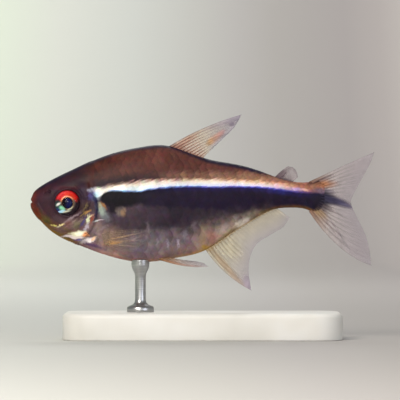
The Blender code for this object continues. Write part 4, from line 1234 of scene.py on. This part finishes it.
def flat(points):
    """Margin points (x, z) on the midline as (x, y, z)."""
    return [(x, 0.0, z) for x, z in points]


def along_line(line, start, end, sink):
    """A root that follows the back or belly from start to end, sunk into the flesh."""
    def root(share):
        x = start + (end - start) * share
        return np.stack([x, 0 * x, line(x) - sink], axis=-1)
    return root


def bowed(vector, reach=1.0):
    """A bow that is full at the first ray and gone at a share of the way to the last."""
    return lambda share: np.maximum(1 - share / reach, 0)[:, None] * np.array(vector)


DORSAL_MARGIN = (
    (23.5, 9.52), (23.1, 8.75), (22.55, 7.95), (21.9, 7.3), (21.15, 6.6), (20.4, 5.95),
)
dorsal = make_fin(
    "dorsal_fin", along_line(back, 15.35, 19.15, 0.14), flat(DORSAL_MARGIN),
    bowed((-0.12, 0, 0.3)), rays=11, rows=64,
)
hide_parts("fin_dorsal")
dorsal.data.materials.append(fin_material(
    "clear_back_fin",
    ((0.0, "8a5a48", 0.7), (0.12, "bf9c84", 0.42), (0.45, "bcab90", 0.36), (0.75, "a5999a", 0.36),
     (1.0, "948a96", 0.42)),
    ((0.0, "6a3a30", 0.9), (0.3, "8c584a", 0.65), (0.5, "a08672", 0.4), (0.8, "8e8088", 0.38),
     (1.0, "7f748a", 0.5)),
    0.06,
    (
        ((20.45, 6.85), (0.8, 0.34), 38, 0.8, "bf7c56", 0.55),
        ((19.95, 6.45), (0.45, 0.3), 40, 0.8, "bd914c", 0.45),
        ((21.2, 7.45), (0.5, 0.28), 42, 0.8, "b8706a", 0.45),
        ((17.2, 6.5), (1.7, 0.35), 38, 0.6, "8c5448", 0.35),
        ((21.1, 8.6), (2.3, 0.36), 21, 0.7, "8c8492", 0.5),
        ((22.7, 9.2), (1.0, 0.4), 32, 0.7, "8d8494", 0.4),
        ((22.35, 8.45), (0.25, 0.2), 0, 0.6, "6e6474", 0.7),
    ),
))


# Adipose fin: a small flap of clear fatty skin behind the back fin, with no rays in it.
ADIPOSE_MARGIN = ((28.7, 3.75), (29.25, 3.62), (29.65, 3.15), (29.75, 2.55))
adipose = make_fin(
    "adipose_fin", along_line(back, 27.2, 29.2, 0.12), flat(ADIPOSE_MARGIN),
    bowed((0.0, 0.0, 0.12)), rays=5, rows=30, forks=0, ripple=0.02, web=0.05,
)
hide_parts("fin_adipose")
FATTY_SKIN = (
    (0.0, "4c363c", 0.8), (0.3, "86757a", 0.45), (0.7, "94868a", 0.35), (0.9, "8a7c80", 0.45),
    (1.0, "7d7076", 0.55),
)
adipose.data.materials.append(fin_material(
    "clear_fatty_skin", FATTY_SKIN, FATTY_SKIN, 0.08,
    (((28.0, 2.95), (0.7, 0.3), 40, 0.8, "4a3640", 0.7),),
))


# Anal fin: long and low, with 26 close rays along the keel of the body. Its leading rays
# are stout and ochre, and drawn out into a point; the rest is a pale cream web.
ANAL_MARGIN = (
    (24.6, -10.1), (24.35, -8.5), (24.35, -7.0), (24.75, -5.6), (25.5, -4.65), (26.4, -4.1),
    (27.2, -3.6), (28.1, -3.05), (28.85, -1.95),
)
anal = make_fin(
    "anal_fin", along_line(belly, 19.45, 27.4, -0.14), flat(ANAL_MARGIN),
    bowed((-0.32, 0.1, -0.34), 1 / 2.2), rays=26, rows=60,
)
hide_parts("fin_anal")
anal.data.materials.append(fin_material(
    "clear_anal_fin",
    ((0.0, "a58c62", 0.7), (0.08, "b5a98c", 0.4), (0.5, "b5ac98", 0.34), (0.8, "aaa0a0", 0.32),
     (1.0, "a0969e", 0.34)),
    ((0.0, "94764a", 0.7), (0.12, "a08c68", 0.42), (0.5, "a09078", 0.34), (0.8, "9c9086", 0.32),
     (1.0, "94888e", 0.34)),
    0.06,
    (
        ((21.9, -7.6), (3.3, 0.34), -49, 0.8, "a5805a", 0.5),
        ((24.2, -9.4), (1.0, 0.5), -70, 0.6, "a294a8", 0.6),
        ((22.5, -5.6), (1.4, 0.9), -40, 0.8, "cfc6a4", 0.3),
    ),
))


# Tail fin: deeply forked, with 19 branched rays fanning from the end of the spine. The
# black band of the flank runs out over its middle rays, between an orange patch above and
# a yellow one below.
CAUDAL_MARGIN = (
    (38.35, 5.35), (37.98, 4.3), (37.35, 3.05), (36.68, 1.85), (36.1, 0.78), (35.74, -0.22),
    (36.15, -1.4), (36.8, -2.68), (37.4, -4.0), (37.82, -5.6), (38.05, -7.35),
)


def caudal_root(share):
    """The rays start on the end of the spine; the outermost creep forward along the stalk."""
    outermost = np.abs(2 * share - 1) ** 4
    level = 2.02 + (-1.28 - 2.02) * share
    return np.stack([31.7 - 0.7 * outermost, 0 * share, level], axis=-1)


def caudal_bow(share):
    upper = np.maximum(1 - share / 0.5, 0)[:, None] * np.array((0, 0.15, 0.05))
    lower = np.maximum((share - 0.5) / 0.5, 0)[:, None] * np.array((-0.15, -0.1, -0.9))
    return upper + lower


caudal = make_fin(
    "tail_fin", caudal_root, flat(CAUDAL_MARGIN), caudal_bow, rays=19, rows=66, ripple=0.06,
)
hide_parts("fin_caudal_upper", "fin_caudal_lower")
caudal.data.materials.append(fin_material(
    "clear_tail_fin",
    ((0.0, "8a6552", 0.95), (0.12, "9c8474", 0.72), (0.3, "b3a6a4", 0.38), (0.7, "a0949a", 0.34),
     (1.0, "998e98", 0.32)),
    ((0.0, "7a5a48", 0.95), (0.12, "8a7064", 0.8), (0.3, "8e7e7a", 0.5), (0.6, "8f8286", 0.38),
     (1.0, "94878e", 0.34)),
    0.05,
    (
        ((32.5, 1.75), (1.3, 0.42), 3, 0.8, "9c6746", 0.95),
        ((32.9, 1.0), (0.9, 0.28), -8, 0.8, "857a8c", 0.7),
        ((32.4, 2.3), (1.2, 0.2), 20, 0.7, "5b484c", 0.7),
        ((32.2, -1.4), (0.9, 0.32), -38, 0.8, "947a4c", 0.6),
        ((32.6, 0.15), (1.2, 0.95), -8, 0.5, "221d2c", 1.0),
        ((33.9, -0.08), (1.6, 0.46), -18, 0.6, "2a2540", 1.0),
        ((35.1, -0.52), (0.9, 0.24), -24, 0.8, "4c4662", 0.75),
        ((32.6, -0.8), (0.9, 0.35), -24, 0.8, "2c2430", 0.7),
        ((33.2, -0.9), (1.6, 0.1), -30, 0.8, "5a484c", 0.4),
        ((33.9, -3.0), (2.6, 0.1), -57, 0.8, "5c5060", 0.35),
        ((33.2, -2.7), (1.9, 0.1), -55, 0.8, "6a5660", 0.35),
    ),
))


# Breast fins: a pair low behind the gill covers, nearly clear, folded back along the body.
# Their first rays are golden.
PECTORAL_ROOT = ((7.95, -3.75), (8.35, -4.75))
PECTORAL_MARGIN = (
    (13.5, 3.95, -3.35), (13.1, 4.1, -4.15), (12.6, 4.15, -4.85), (11.9, 4.05, -5.5),
    (11.0, 3.75, -6.0),
)
PELVIC_ROOT = ((14.2, 0.62), (15.2, 0.47))
PELVIC_MARGIN = (
    (19.75, 1.25, -7.4), (19.3, 1.12, -7.08), (18.6, 0.92, -6.9), (17.7, 0.72, -6.82),
)


def pectoral_root(share):
    (x0, z0), (x1, z1) = PECTORAL_ROOT
    x, z = x0 + (x1 - x0) * share, z0 + (z1 - z0) * share
    return np.stack([x, flank(x, z) - 0.15, z], axis=-1)


def pelvic_root(share):
    (x0, y0), (x1, y1) = PELVIC_ROOT
    x, y = x0 + (x1 - x0) * share, y0 + (y1 - y0) * share
    depth = widest_level(x) - belly(x)
    level = (1 - (y / half_width(x)) ** belly_fullness(x)) ** (1 / belly_fullness(x))
    return np.stack([x, y, widest_level(x) - depth * level + 0.15], axis=-1)


pectoral_material = fin_material(
    "clear_breast_fin",
    ((0.0, "a8968c", 0.25), (0.15, "9a8c88", 0.05), (0.7, "9a8c88", 0.03), (1.0, "a09496", 0.03)),
    ((0.0, "b9a488", 0.75), (0.3, "a58a62", 0.36), (0.6, "94826e", 0.14), (1.0, "8e807c", 0.06)),
    0.0,
    (
        ((9.9, -4.15), (1.9, 0.07), 12, 0.8, "c8985a", 0.55),
        ((9.8, -4.6), (1.8, 0.06), 4, 0.8, "b48c5c", 0.45),
        ((9.8, -5.0), (1.5, 0.06), -5, 0.8, "a8865c", 0.4),
        ((8.2, -4.1), (0.35, 0.3), 0, 0.8, "c4b4a8", 0.2),
    ),
)
for side, word in ((-1, "left"), (1, "right")):
    fin = make_fin(
        f"breast_fin_{word}", pectoral_root, PECTORAL_MARGIN,
        lambda share: np.stack([0 * share, 0.15 + 0 * share, 0.25 - 0.5 * share], axis=-1),
        rays=12, rows=44, side=side, ripple=0.03,
    )
    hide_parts(f"fin_pectoral_{word}")
    fin.data.materials.append(pectoral_material)


# Belly fins: a pair under the belly, laid back along it, with an orange leading edge.
pelvic_material = fin_material(
    "clear_belly_fin",
    ((0.0, "a07a5c", 0.6), (0.2, "bca594", 0.24), (0.6, "b3a6a8", 0.2), (1.0, "a89ea6", 0.24)),
    ((0.0, "94683c", 0.7), (0.35, "a07a58", 0.45), (0.7, "9c8680", 0.32), (1.0, "8f858c", 0.28)),
    0.06,
    (
        ((15.3, -6.9), (1.3, 0.16), -10, 0.8, "a86e42", 0.6),
        ((17.4, -7.3), (1.8, 0.12), -6, 0.8, "a87e68", 0.45),
    ),
)
for side, word in ((-1, "left"), (1, "right")):
    fin = make_fin(
        f"belly_fin_{word}", pelvic_root, PELVIC_MARGIN, bowed((0.0, 0.1, -0.35)),
        rays=8, rows=48, side=side, ripple=0.03,
    )
    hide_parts(f"fin_pelvic_{word}")
    fin.data.materials.append(pelvic_material)


# Base of the stand: a small block of opal acrylic, sawn, its corners rounded and its upper
# edge bevelled and flame polished, the faces rubbed to a satin.
BASE_LENGTH = 31.0
BASE_WIDTH = 15.0
BASE_THICKNESS = 3.0
BASE_CORNER = 3.5
BASE_EDGE = 0.5
FOOT_EDGE = 0.15
CORNER_STEPS = 14

bm = bmesh.new()
bmesh.ops.create_cube(bm, size=1.0)
bmesh.ops.scale(bm, verts=bm.verts, vec=(BASE_LENGTH, BASE_WIDTH, BASE_THICKNESS))
bmesh.ops.translate(bm, verts=bm.verts, vec=(0, 0, BASE_THICKNESS / 2))
upright = [e for e in bm.edges if abs(e.verts[0].co.z - e.verts[1].co.z) > 1]
bmesh.ops.bevel(
    bm, geom=upright, offset=BASE_CORNER, segments=CORNER_STEPS, profile=0.5, affect="EDGES",
    material=-1,
)
for height, offset, segments in ((BASE_THICKNESS, BASE_EDGE, 5), (0.0, FOOT_EDGE, 3)):
    rim = [e for e in bm.edges if all(abs(v.co.z - height) < 1e-4 for v in e.verts)]
    bmesh.ops.bevel(
        bm, geom=rim, offset=offset, segments=segments, profile=0.5, affect="EDGES", material=-1
    )
bmesh.ops.scale(bm, verts=bm.verts, vec=(MM, MM, MM))
base = mesh_object("stand_base_block", bm)
base.data.set_sharp_from_angle(angle=math.radians(35))
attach(base, "root")
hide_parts("stand_base")

# Opal acrylic: milky and soft in the light, with fine rubbed scratches along its length.
material, tree, own = start_material("opal_acrylic_satin")
grain = stretched_noise(tree, own, (6.0, 0.12, 0.12), 5.0)
milky = add(tree, "TexNoise", {"Vector": own, "Scale": 0.16, "Detail": 2.0})
colour = colours_along(
    tree, milky, ((0.3, "cfcdc6"), (0.5, "d8d6d0"), (0.7, "dfdeda")), 0.2, 0.8
)[0]
rough = add(tree, "MapRange", {"Value": grain, "To Min": 0.3, "To Max": 0.55})
surface(tree, {
    "Base Color": colour, "Roughness": rough, "IOR": 1.49, "Subsurface Weight": 0.3,
    "Subsurface Radius": (0.0012, 0.0011, 0.001), "Subsurface Scale": 1.0,
}, grain, 0.25, 0.02)
base.data.materials.append(material)


# Rod of the stand: thin steel, turned in one piece with the collar at its foot, and
# brushed. Its flat head reaches a little way up into the belly that rests on it.
ROD_X = 12.2
ROD_RADIUS = 0.6
COLLAR_RADIUS = 1.5
HEAD_RADIUS = 1.0
HEAD_LAP = 0.35  # how far the head reaches up round the belly
rod_top = AXIS_HEIGHT + float(belly(ROD_X)) + HEAD_LAP
rod_profile = (
    (0.0, 2.95), (1.42, 2.95), (COLLAR_RADIUS, 3.08), (COLLAR_RADIUS, 3.5), (1.38, 3.66),
    (0.86, 3.86), (0.66, 4.1), (ROD_RADIUS, 4.4), (ROD_RADIUS, rod_top - 1.9),
    (0.66, rod_top - 1.55), (0.84, rod_top - 1.2), (0.97, rod_top - 0.85),
    (HEAD_RADIUS, rod_top - 0.55), (HEAD_RADIUS, rod_top - 0.06), (0.94, rod_top), (0.0, rod_top),
)
bm = bmesh.new()
knots = [bm.verts.new((radius, 0, z)) for radius, z in rod_profile]
lines = [bm.edges.new(pair) for pair in zip(knots, knots[1:])]
bmesh.ops.spin(
    bm, geom=knots + lines, cent=(0, 0, 0), axis=(0, 0, 1), angle=math.tau, steps=64,
    use_merge=True,
)
bmesh.ops.remove_doubles(bm, verts=bm.verts, dist=1e-4)
bmesh.ops.recalc_face_normals(bm, faces=bm.faces)
bmesh.ops.translate(bm, verts=bm.verts, vec=(ROD_X + SNOUT_X, 0, 0))
bmesh.ops.scale(bm, verts=bm.verts, vec=(MM, MM, MM))
rod = mesh_object("stand_rod_turned", bm)
rod.data.set_sharp_from_angle(angle=math.radians(40))
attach(rod, "root")
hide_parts("stand_rod")

# Brushed steel: fine rings left by the lathe and the abrasive, about 0.05 mm apart.
material, tree, own = start_material("brushed_steel_turned")
rings = stretched_noise(tree, own, (3.0, 3.0, 0.05), 3.0)
colour = colours_along(tree, rings, ((0.25, "8f9092"), (0.75, "c4c4c4")), 0.2, 0.8)[0]
rough = add(tree, "MapRange", {"Value": rings, "To Min": 0.22, "To Max": 0.42})
surface(tree, {"Base Color": colour, "Roughness": rough, "Metallic": 1.0}, rings, 0.3, 0.01)
rod.data.materials.append(material)


# Studio: a pale paper sweep, floor and backdrop in one, well clear of the fish all round.
# It is painted lighter and greener on the left and darker and greyer to the right: painted light
# falling off across the backdrop.
SWEEP_HALF = 900.0
SWEEP_FRONT = -720.0
SWEEP_WALL = 900.0
SWEEP_CURVE = 320.0
SWEEP_TOP = 500.0

bm = bmesh.new()
ends = [bm.verts.new((side * SWEEP_HALF, SWEEP_FRONT, 0)) for side in (-1, 1)]
front_edge = bm.edges.new(ends)
pushed = bmesh.ops.extrude_edge_only(bm, edges=[front_edge])["geom"]
ends = [v for v in pushed if isinstance(v, bmesh.types.BMVert)]
bmesh.ops.translate(bm, verts=ends, vec=(0, SWEEP_WALL - SWEEP_CURVE - SWEEP_FRONT, 0))
edge = [e for e in pushed if isinstance(e, bmesh.types.BMEdge)]
bent = bmesh.ops.spin(
    bm, geom=edge + ends, cent=(0, SWEEP_WALL - SWEEP_CURVE, SWEEP_CURVE), axis=(1, 0, 0),
    angle=math.radians(90), steps=48,
)["geom_last"]
edge = [e for e in bent if isinstance(e, bmesh.types.BMEdge)]
pushed = bmesh.ops.extrude_edge_only(bm, edges=edge)["geom"]
ends = [v for v in pushed if isinstance(v, bmesh.types.BMVert)]
bmesh.ops.translate(bm, verts=ends, vec=(0, 0, SWEEP_TOP))
bmesh.ops.recalc_face_normals(bm, faces=bm.faces)
bmesh.ops.scale(bm, verts=bm.verts, vec=(MM, MM, MM))
sweep = mesh_object("paper_sweep", bm)

# Uncoated paper: matt and smooth, with a fibre too fine to show but as a slight unevenness.
material, tree, own = start_material("pale_paper")
across = add(tree, "SeparateXYZ", {0: own})
# painted light: lightest at the left of the view, darkest a little right of the middle, and a little
# lighter again at the far right
colour = colours_along(tree, across, (
    (-41.0, "dbe2d1"), (-21.0, "d5d6cd"), (0.0, "c9cac4"), (20.0, "bbb9b4"), (29.0, "b4b0ad"),
    (40.0, "aca7a3"), (50.0, "a9a3a0"), (60.0, "a7a09e"), (70.0, "b0a8a5"), (80.0, "bfb8b3"),
), -41.0, 80.0)[0]
fibre = add(tree, "TexNoise", {"Vector": own, "Scale": 0.8, "Detail": 4.0})
surface(tree, {"Base Color": colour, "Roughness": 0.9}, fibre, 0.05, 0.1)
sweep.data.materials.append(material)

LAMPS = (  # name, place and what it is aimed at in mm, size in mm, watts, colour
    ("key_soft_box", (-110, -240, 170), (0, 0, 15), 180, 0.78, "fff8ee"),
    ("fill_panel", (190, -220, 60), (0, 0, 15), 180, 0.22, "eef2ff"),
    ("top_strip", (20, 20, 220), (0, 0, 15), 110, 0.04, "eef2ff"),
    ("backdrop_wash", (-80, 600, 440), (-40, 900, 60), 420, 1.5, "ffffff"),
    ("floor_wash", (0, 260, 260), (0, 220, 0), 200, 0.45, "ffffff"),
    ("low_fill", (-40, -300, 45), (0, 0, 10), 70, 0.07, "ffffff"),
)
for name, place, target, size, watts, tint in LAMPS:
    lamp = bpy.data.lights.new(name, "AREA")
    lamp.shape = "DISK"
    lamp.size = size * MM
    lamp.energy = watts
    lamp.color = linear(tint)[:3]
    holder = bpy.data.objects.new(name, lamp)
    aim = Vector(target) - Vector(place)
    holder.rotation_euler = aim.to_track_quat("-Z", "Y").to_euler()
    holder.location = Vector(place) * MM
    bpy.context.scene.collection.objects.link(holder)

# The room is a soft even grey, lightest at the height of the horizon.
world = bpy.data.worlds.new("soft_room")
world.use_nodes = True
tree = world.node_tree
tree.nodes.clear()
upward = add(tree, "SeparateXYZ", {0: add(tree, "TexCoord", out="Generated")}, "Z")
sky = colours_along(tree, upward, ((0.0, "c4c6c1"), (0.5, "a9abaa"), (1.0, "8d9092")), 0.0, 1.0)
room = add(tree, "Background", {"Color": sky[0], "Strength": 0.8})
add(tree, "OutputWorld", {"Surface": room})
bpy.context.scene.world = world
bpy.context.scene.view_settings.view_transform = "Standard"

# Camera: level with the fish and square to its left side, from about thirteen lengths away.
VIEW_WIDTH = 44.6  # mm across the picture where the fish is
VIEW_CENTRE_X = -0.2965
LENS = 400.0
SENSOR = 36.0
camera_data = bpy.data.cameras.new("camera")
camera_data.lens = LENS
camera_data.sensor_width = SENSOR
camera_data.clip_start = 0.005
camera_data.clip_end = 5.0
camera = bpy.data.objects.new("camera", camera_data)
camera.location = Vector((VIEW_CENTRE_X, -VIEW_WIDTH * LENS / SENSOR, AXIS_HEIGHT)) * MM
camera.rotation_euler = (math.radians(90), 0, 0)
bpy.context.scene.collection.objects.link(camera)
bpy.context.scene.camera = camera
